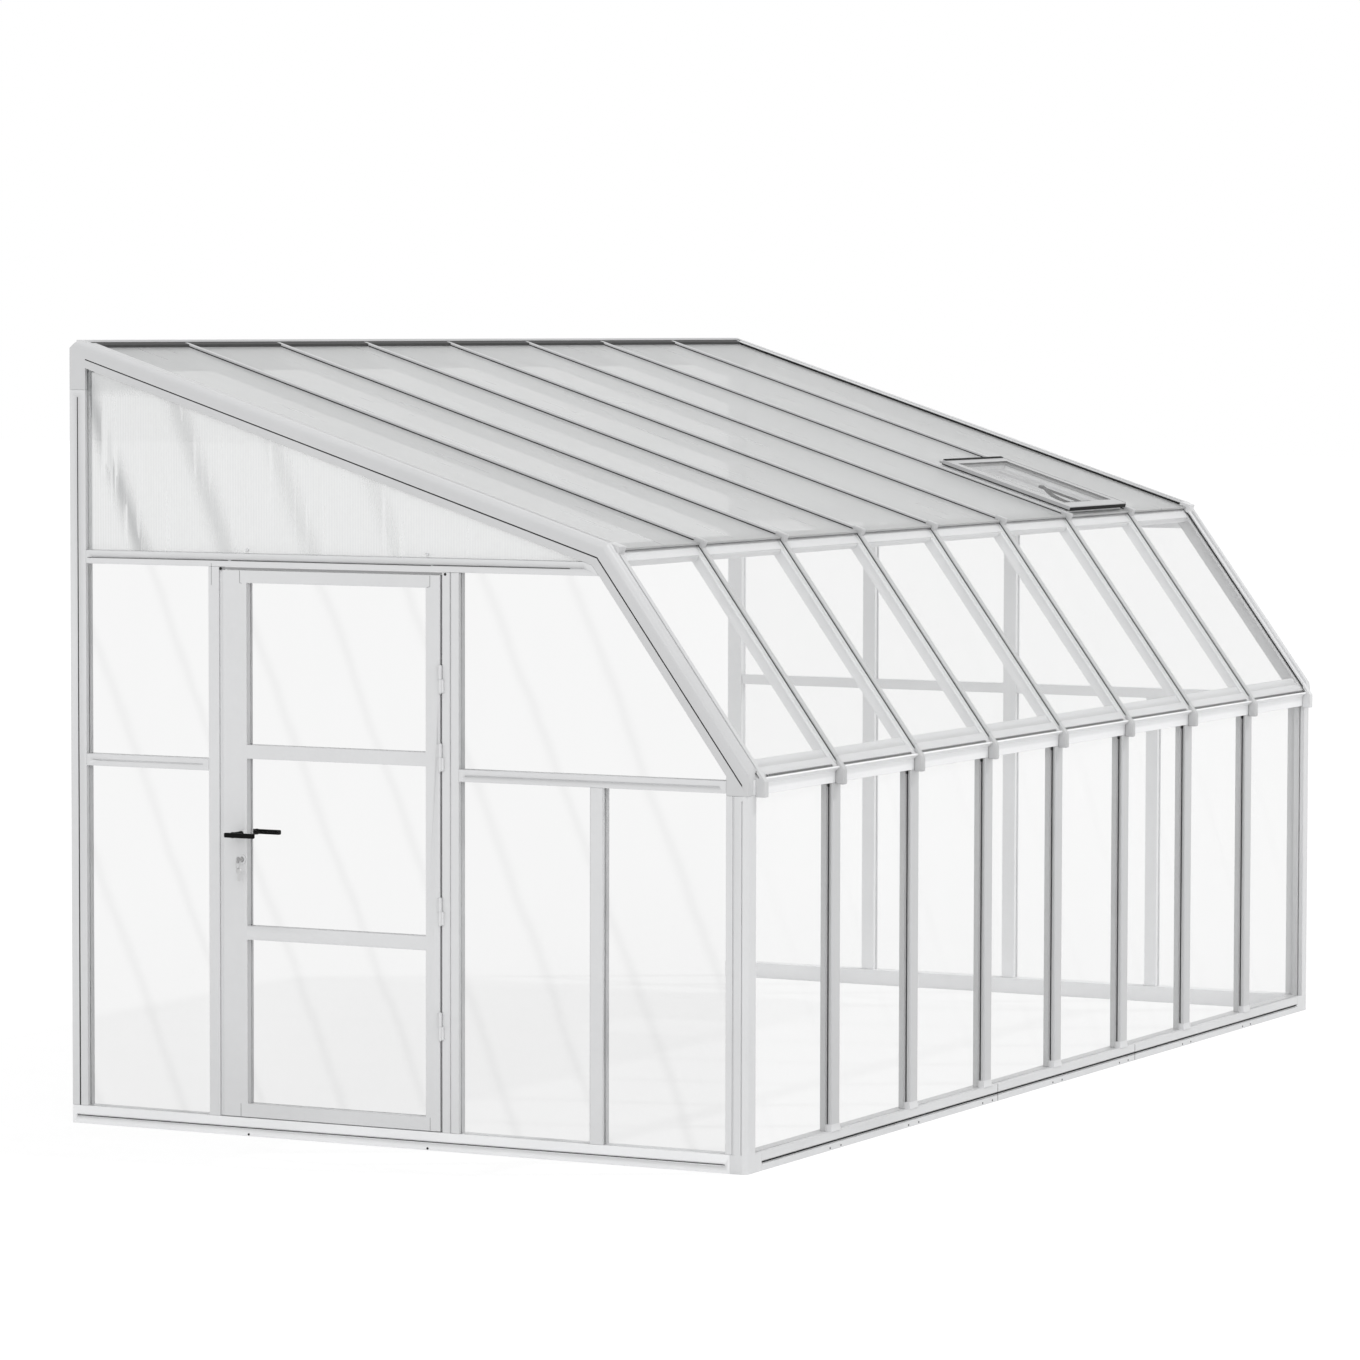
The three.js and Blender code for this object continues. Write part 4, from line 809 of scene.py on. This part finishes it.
# under each trim a dark strip paints the shadow beneath the sheet's lower edge
shadowStrips = []
low = -trimForm["sheet"] - trimForm["wall"]
shadowRuns = (-trimForm["overhang"], -trimForm["overhang"] + trimForm["beadWidth"])
shadowSection = roundedRectangle(*shadowRuns, low - trimForm["beadRise"], low, trimForm["beadRound"], 2)
for index in range(house["bays"]):
    x0 = barMiddle(index) + trimForm["barGap"]
    x1 = barMiddle(index + 1) - trimForm["barGap"]
    if index == 0:
        x0 = trimForm["vergeGap"]
    if index == house["bays"] - 1:
        x1 = houseLength - trimForm["vergeGap"]
    trims.append(sheetTrim(x0, x1))
    shadowStrips.append(rowSweep(legPoints(house["roofSlope"], *shadowSection.T), x0, x1))
addPiece("sheetTrims", merged(*trims), finishes["roof"], "frame", smooth=20)
addPiece("overhangBeads", merged(*shadowStrips), finishes["rubber"], "frame")

shoeForm = {"flare": 0.003, "top": 0.084, "half": 0.031, "proud": 0.0006, "back": 0.0236, "round": 0.0028}


def postShoe(middle):
    # the foot of a front post: a rounded ring that widens towards the base by the square of the way down
    rings = []
    for share in np.linspace(0, 1, 7):
        grow = shoeForm["flare"] * share * share + shoeForm["proud"]
        z = shoeForm["top"] + (house["baseHeight"] - shoeForm["top"]) * share
        x0, x1 = middle - shoeForm["half"] - grow, middle + shoeForm["half"] + grow
        flat = roundedRectangle(x0, x1, -grow, shoeForm["back"], shoeForm["round"])
        rings.append(np.column_stack([flat, np.full(len(flat), z)]))
    return loft(rings)


shoes = merged(*[postShoe(barMiddle(index)) for index in inBetween])
addPiece("postShoes", shoes, finishes["resin"], "frame")

# Heads as (radius, height).
screwForm = {
    "base": (0.0036, 0.0012), "baseSide": 0.041, "baseHeight": 0.008,
    "eave": (0.004, 0.0012), "eaveSide": 0.004, "eaveDepth": -0.0306, "eaveRise": 0.003, "vergeX": 0.073,
    "gable": (0.004, 0.004), "gableHeight": 0.006, "bolt": (0.006, 0.005), "boltHeight": 1.9515,
    "gableDepths": (1.1675, 1.852),
}
outward, sideways = (0, -1, 0), (-1, 0, 0)
eavePlace = (screwForm["eaveDepth"], eaveHeight + screwForm["eaveRise"])
heads = []
for index in inBetween:
    for side in (-1, 1):
        place = (barMiddle(index) + side * screwForm["baseSide"], 0.0, screwForm["baseHeight"])
        heads.append(domeHead(*screwForm["base"], place, outward))
    heads.append(domeHead(*screwForm["eave"], (barMiddle(index) + screwForm["eaveSide"], *eavePlace), outward))
heads.append(domeHead(*screwForm["eave"], (screwForm["vergeX"], *eavePlace), outward))
bolts = []
for depth in screwForm["gableDepths"]:
    bolts.append(domeHead(*screwForm["bolt"], (0.0, depth, screwForm["boltHeight"]), sideways))
    heads.append(domeHead(*screwForm["gable"], (0.0, depth, screwForm["gableHeight"]), sideways))
addPiece("crossbarBolts", merged(*bolts), finishes["resin"], "frame")
addPiece("darkFasteners", merged(*heads), finishes["rubber"], "frame")
print("comb, trims, shoes and fasteners built")


# Lines as (y, z) at one end, (y, z) at the other and, where it isn't "half", half the width.
# Heads as (radius, height).
creviceForm = {
    "half": 0.0005, "proud": 0.0003, "sunk": 0.0006,
    "frameLines": [
        (2.480, 1.915, 1.927, 1.916, 0.0009), (1.9155, 1.916, 1.1535, 1.9155, 0.0011),
        (1.147, 1.9165, 0.640, 1.9165, 0.0009), (1.992, 1.906, 1.992, 1.833, 0.0005),
    ],
    "doorLines": [
        (1.8820, 1.8835, 1.8820, 1.8435), (1.8820, 1.8435, 1.8745, 1.8415),
        (1.1575, 1.8835, 1.1575, 1.8470), (1.1575, 1.8470, 1.1695, 1.8440),
        (1.8820, 0.0655, 1.8820, 0.1080), (1.1575, 0.0655, 1.1575, 0.1080),
    ],
    "frameHead": (0.005, 0.001), "frameHeads": [(1.9555, 1.8885), (1.1005, 1.8885)],
    "doorHead": (0.0026, 0.001), "doorHeadAt": (0.0246, 1.8532), "doorHeads": (0.6565, 0.7035, 1.2595, 1.3065),
    "seamHalf": 0.0009, "seamRound": 0.0002, "seamEnd": 0.001, "seamOffset": 0.00015,
}


def gableCrevice(y0, z0, y1, z1, half=creviceForm["half"]):
    # a thin dark joint on the face of the door gable
    return slotStrip(-creviceForm["proud"], creviceForm["sunk"], y0, z0, y1, z1, half)


def baseSeam(nodeName):
    # the thin dark joint at the far end of one length of the base
    c = creviceForm
    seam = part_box(nodeName)[1].x - corner.x + c["seamOffset"]
    x0, x1 = seam - c["seamHalf"], seam + c["seamHalf"]
    section = roundedRectangle(x0, x1, -c["proud"], c["sunk"], c["seamRound"], 1)
    return upSweep(section, c["seamEnd"], house["baseHeight"] - c["seamEnd"])


# Strips in the doorway: from x to x, then (y, z) at one end, (y, z) at the other, then half the width.
doorway = {
    "hingeGap": (0.008, 0.012, 1.1148, 0.064, 1.1148, 1.889, 0.0011),
    "headStop": (0.002, 0.005, 1.1123, 1.8905, 1.962, 1.8905, 0.0036),
    "sillStop": (0.008, 0.010, 1.1123, 0.0622, 1.962, 0.0622, 0.0006),
    "lockStop": (0.006, 0.010, 1.9563, 0.064, 1.9563, 1.8860, 0.0060),
}
frameLines = [gableCrevice(*line) for line in creviceForm["frameLines"]]
frameLines.append(slotStrip(*doorway["hingeGap"]))
for y, z in creviceForm["frameHeads"]:
    frameLines.append(domeHead(*creviceForm["frameHead"], (0.0, y, z), sideways))
frameLines += [baseSeam(nodeName) for nodeName in ("base_front_near", "base_front_middle")]
addPiece("frameCrevices", merged(*frameLines), finishes["rubber"], "frame", smooth=20)
# the head and sill strips paint shadow: dark resin lines where the gaps above and below the door lie in shade
stops = merged(slotStrip(*doorway["headStop"]), slotStrip(*doorway["sillStop"]))
addPiece("doorHeadShade", stops, finishes["shade"], "frame", smooth=20)
addPiece("lockStop", slotStrip(*doorway["lockStop"]), finishes["resin"], "frame", smooth=20)

doorLines = [gableCrevice(*line) for line in creviceForm["doorLines"]]
for z in creviceForm["doorHeads"]:
    doorLines.append(domeHead(*creviceForm["doorHead"], (*creviceForm["doorHeadAt"], z), sideways))
addPiece("doorCrevices", merged(*doorLines), finishes["rubber"], "door", smooth=20)
print("crevices drawn")

leverForm = {
    "spindle": (1.877, 1.009), "outer": (-0.0718, -0.0562), "inner": (0.0962, 0.1118),
    "reach": (1.790, 1.903), "half": 0.0079, "round": 0.0038, "neck": 0.0092, "faces": (-0.0035, 0.0435),
    "sink": 0.006, "shaft": (-0.004, 0.0985), "shaftHalf": 0.004, "shaftRound": 0.0006,
}


def leverShape(outer):
    # a rounded lever, its heel and the neck that carries it
    lever = leverForm
    y, z = lever["spindle"]
    x0, x1 = lever["outer"] if outer else lever["inner"]
    bar = softBox(x0, x1, *lever["reach"], z - lever["half"], z + lever["half"], lever["round"], 5)
    way = 1.0 if outer else -1.0
    start = x1 - lever["sink"] if outer else x0 + lever["sink"]
    length = (lever["faces"][0] - start) if outer else (start - lever["faces"][1])
    n = lever["neck"]
    profile = [(n * 0.5, 0.0), (n * 1.12, 0.004), (n * 1.05, 0.012), (n, 0.020)]
    profile += [(n, length - 0.004), (n * 1.1, length)]
    parts = [bar, turned(profile, (start, y, z), (way, 0, 0), 28)]
    if outer:
        half = lever["shaftHalf"]
        parts.append(softBox(*lever["shaft"], y - half, y + half, z - half, z + half, lever["shaftRound"]))
    return merged(*parts)


for name, node, outer in (("outerLever", "outer_handle", True), ("innerLever", "inner_handle", False)):
    addPiece(name, leverShape(outer), finishes["handle"], "handle", replaces=[node])

keyForm = {
    "ring": 0.011, "wire": 0.0009, "ringAt": (0.005, -0.002, -0.0055), "ringLean": 0.5,
    "bow": 0.010, "thick": 0.0011, "bladeHalf": 0.0038, "bladeDrop": (-0.044, -0.016), "bladeRound": 0.0006,
    "hungAt": (0.006, -0.006, -0.0145),
}


def wireRing(centre, radius, wire, lean, around=28, sides=8):
    # a ring of wire: each ring of points is a circle of the wire's radius turned about the ring's axis
    turn = np.linspace(0, 2 * math.pi, around, endpoint=False)[:, None]
    small = np.linspace(0, 2 * math.pi, sides, endpoint=False)[None]
    reach = radius + wire * np.cos(small)
    level = reach * np.cos(turn)
    points = np.stack([level * math.sin(lean), level * math.cos(lean), reach * np.sin(turn)], -1)
    points += (wire * np.sin(small))[..., None] * np.array([math.cos(lean), -math.sin(lean), 0.0])
    first, after = np.arange(sides), (np.arange(sides) + 1) % sides
    last = (around - 1) * sides
    close = np.stack([last + first, last + after, after, first], -1)
    quads = np.concatenate([gridQuads(around, sides, True), close])
    return points.reshape(-1, 3) + centre, quads, np.zeros((0, 3), int)


def hangingKey(x, y, top):
    # a flat key that hangs from the ring: round bow above, narrow blade below
    bow, thick, blade = keyForm["bow"], keyForm["thick"], keyForm["bladeHalf"]
    profile = [(bow * 0.93, -thick), (bow, -thick * 0.6), (bow, thick * 0.6), (bow * 0.93, thick)]
    low, high = (top + drop for drop in keyForm["bladeDrop"])
    return merged(
        turned(profile, (x, y, top - bow), (1, 0, 0), 24),
        softBox(x - thick * 0.8, x + thick * 0.8, y - blade, y + blade, low, high, keyForm["bladeRound"]),
    )


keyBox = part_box("key")
keyHole = np.array([keyBox[0].x - corner.x, (keyBox[0].y + keyBox[1].y) / 2 - corner.y, keyBox[0].z])
hung = merged(
    wireRing(keyHole + keyForm["ringAt"], keyForm["ring"], keyForm["wire"], keyForm["ringLean"]),
    hangingKey(*(keyHole + keyForm["hungAt"])),
)
addPiece("keyRing", hung, finishes["steel"], "key_plug")

hingeForm = {
    "x": -0.006, "y": 1.116, "radius": 0.0063, "cap": 0.0042, "half": 0.043,
    "middles": (0.410, 0.787, 1.291, 1.546),
}
caps = []
radius = hingeForm["radius"]
profile = [(radius * 0.7, -0.001), (radius, 0.0), (radius * 0.9, 0.002), (radius * 0.5, hingeForm["cap"])]
for middle in hingeForm["middles"]:
    for way in (-1, 1):
        place = (hingeForm["x"], hingeForm["y"], middle + way * hingeForm["half"])
        caps.append(turned(profile, place, (0, 0, way), 20))
addPiece("hingeCaps", merged(*caps), finishes["resin"], "frame")
print("levers, keys and hinge caps built")

# The lid: x from its middle, run up the slope from the knee, lift square to it.
ventForm = {
    "middle": 4.0085, "half": 0.273, "foot": -0.006, "head": 0.551,
    "low": 0.0125, "high": 0.0292, "proud": 0.0012,
}
v = ventForm
sideRuns = (v["foot"] + 0.001, v["head"] - 0.001)
footRuns = (v["foot"] - v["proud"], v["foot"] + 0.0004)
headRuns = (v["head"] - 0.0110, v["head"] + 0.0005)
# black strips round the lid: partly its seals, partly painted shade where the lid's edges stand off the roof
lidSeals = [
    softBox(-v["half"] + 0.001, v["half"] - 0.001, *footRuns, v["low"], v["high"] - 0.003, 0.0005),
    softBox(-v["half"] + 0.004, v["half"] - 0.004, *headRuns, v["high"], 0.0335, 0.0008),
    softBox(-v["half"] - v["proud"], -v["half"] + 0.0004, *sideRuns, v["low"], v["low"] + 0.004, 0.0005),
    softBox(v["half"] - 0.0014, v["half"] - 0.0002, *sideRuns, v["high"], 0.0306, 0.0003),
]
addPiece("lidSeals", onRoof(merged(*lidSeals), v["middle"]), finishes["rubber"], "vent_lid")

stayForm = {
    "run0": 0.044, "knuckle": 0.250, "run1": 0.428, "half": 0.003, "low": 0.012, "high": 0.0212, "round": 0.001,
    "middleLift": 0.016, "pinRun": 0.048, "knuckleX": 0.018, "armFoot": 0.066, "armStart": 0.030, "bulge": 0.118,
    "armTurn": 0.62, "armSharpness": 1.2, "armHalf": 0.009, "armSwell": 0.004, "armInset": 0.0006,
    "bracket": (-0.112, 0.090, 0.0585, 0.0700, 0.0125, 0.0200), "bracketRound": 0.0015,
}


def curvedArm():
    # the bowed arm of the opener: its middle line runs from the knuckle to the foot and swings out by a sine
    t = stayForm
    steps = 25
    share = np.linspace(0, 1, steps)
    run = t["knuckle"] + (t["armFoot"] - t["knuckle"]) * share
    swing = np.sin(share * math.pi * t["armTurn"]) ** t["armSharpness"]
    x = t["armStart"] * (1 - share) - t["bulge"] * swing
    width = t["armHalf"] + t["armSwell"] * np.sin(share * math.pi)
    low, high = np.full(steps, t["low"] + t["armInset"]), np.full(steps, t["high"] - t["armInset"])
    left, right = x - width, x + width
    corners = [(left, run, low), (right, run, low), (right, run, high), (left, run, high)]
    return loft(np.stack([np.stack(point, -1) for point in corners], 1))


t = stayForm
pinProfile = [(0.0028, -0.0058), (0.0030, -0.0050), (0.0030, 0.0050), (0.0028, 0.0058)]
knuckleProfile = [(0.011, -0.0036), (0.012, -0.0028), (0.012, 0.0028), (0.011, 0.0036)]
linkRuns = (t["knuckle"] - 0.005, t["knuckle"] + 0.003)
arms = merged(
    softBox(-t["half"], t["half"], t["run0"], t["knuckle"], t["low"], t["high"], t["round"]),
    turned(pinProfile, (0, t["pinRun"], t["middleLift"]), (1, 0, 0), 16),
    turned(knuckleProfile, (t["knuckleX"], t["knuckle"], t["middleLift"]), (0, 0, 1), 24),
    softBox(-t["half"], 0.020, *linkRuns, t["low"] + 0.001, t["high"] - 0.001, t["round"]),
    curvedArm(),
)
arms = onRoof(arms, v["middle"])
addPiece("openerArms", arms, finishes["handle"], "stay", replaces=["vent_stay"])
tail = softBox(-t["half"], t["half"], t["knuckle"], t["run1"], t["low"], t["high"], t["round"])
addPiece("stayTail", onRoof(tail, v["middle"]), finishes["resin"], "stay")
bracket = softBox(*t["bracket"], t["bracketRound"])
addPiece("openerBracket", onRoof(bracket, v["middle"]), finishes["handle"], "vent_lid")
print("vent details built")

shot = {"place": (-18.4855, -9.2565, 2.706), "azimuth": 27.193, "tilt": 3.602, "roll": 0.1235, "lens": 150.28}
azimuth, tilt, roll = (math.radians(shot[key]) for key in ("azimuth", "tilt", "roll"))
forward = np.array([math.cos(azimuth) * math.cos(tilt), math.sin(azimuth) * math.cos(tilt), -math.sin(tilt)])
level = np.array([math.sin(azimuth), -math.cos(azimuth), 0.0])  # square to forward and to straight up
upward = np.cross(level, forward)
right = level * math.cos(roll) + upward * math.sin(roll)
top = upward * math.cos(roll) - level * math.sin(roll)
cameraData = bpy.data.cameras.new("camera")
cameraData.lens = shot["lens"]
cameraData.sensor_width = 36.0
cameraData.clip_end = 200.0
camera = bpy.data.objects.new("camera", cameraData)
bpy.context.scene.collection.objects.link(camera)
matrix = np.eye(4)
matrix[:3, 0], matrix[:3, 1], matrix[:3, 2], matrix[:3, 3] = right, top, -forward, shot["place"]
camera.matrix_world = Matrix(matrix.tolist())
bpy.context.scene.camera = camera

# Suns as (strength, spread in degrees, where the light comes from).
studio = {
    "floorHalf": 90.0, "floorTone": 0.82, "floorGlow": 1.10, "glowShare": 0.76, "world": 0.775,
    "sun": (1.02, 2.5, (0.30, -0.50, 0.85)), "fill": (1.08, 50.0, (-1.0, -0.42, 0.35)),
}


def seenShare(tree):
    # 1 for camera, mirror and see-through rays
    paths = tree.nodes.new("ShaderNodeLightPath")
    seen = Signal(tree, paths.outputs["Is Camera Ray"]) + Signal(tree, paths.outputs["Is Glossy Ray"])
    seen = seen + Signal(tree, paths.outputs["Is Transmission Ray"])
    return seen.math("MINIMUM", seen, 1.0)


floorMesh = bpy.data.meshes.new("floor")
half = studio["floorHalf"]
floorMesh.from_pydata([(-half, -half, 0), (half, -half, 0), (half, half, 0), (-half, half, 0)], [], [(0, 1, 2, 3)])
floor = bpy.data.objects.new("floor", floorMesh)
bpy.context.scene.collection.objects.link(floor)
paper = Finish("floorPaper", {"Roughness": 0.9, "Specular IOR Level": 0.0, "Base Color": grey(studio["floorTone"])})
glow = paper.node("ShaderNodeEmission", {}, {"Color": (1, 1, 1, 1), "Strength": studio["floorGlow"]})
share = seenShare(paper.tree) * studio["glowShare"]
total = paper.node("ShaderNodeMixShader", {}, {0: share, 1: Signal(paper.tree, paper.shader.outputs[0]), 2: glow})
output = paper.tree.nodes["Material Output"]
paper.feed(output.inputs["Surface"], total)
floorMesh.materials.append(paper.material)

world = bpy.data.worlds.new("studio")
world.use_nodes = True
bpy.context.scene.world = world
tree = world.node_tree
backdrop = tree.nodes["Background"]
backdrop.inputs["Color"].default_value = (1, 1, 1, 1)
seen = seenShare(tree)
tree.links.new((studio["world"] + seen * (1.0 - studio["world"])).socket, backdrop.inputs["Strength"])


def addSun(name, energy, spread, towards):
    # a sun whose light comes from the given direction
    data = bpy.data.lights.new(name, "SUN")
    data.energy = energy
    data.angle = math.radians(spread)
    lamp = bpy.data.objects.new(name, data)
    bpy.context.scene.collection.objects.link(lamp)
    sunward = np.array(towards) / np.linalg.norm(towards)
    side = np.cross([0, 1, 0], sunward)
    side /= np.linalg.norm(side)
    matrix = np.eye(4)
    matrix[:3, 0], matrix[:3, 1], matrix[:3, 2] = side, np.cross(sunward, side), sunward
    lamp.matrix_world = Matrix(matrix.tolist())


for name in ("sun", "fill"):
    addSun(name, *studio[name])

bpy.context.scene.view_settings.view_transform = "Standard"
print("camera, floor and light placed")
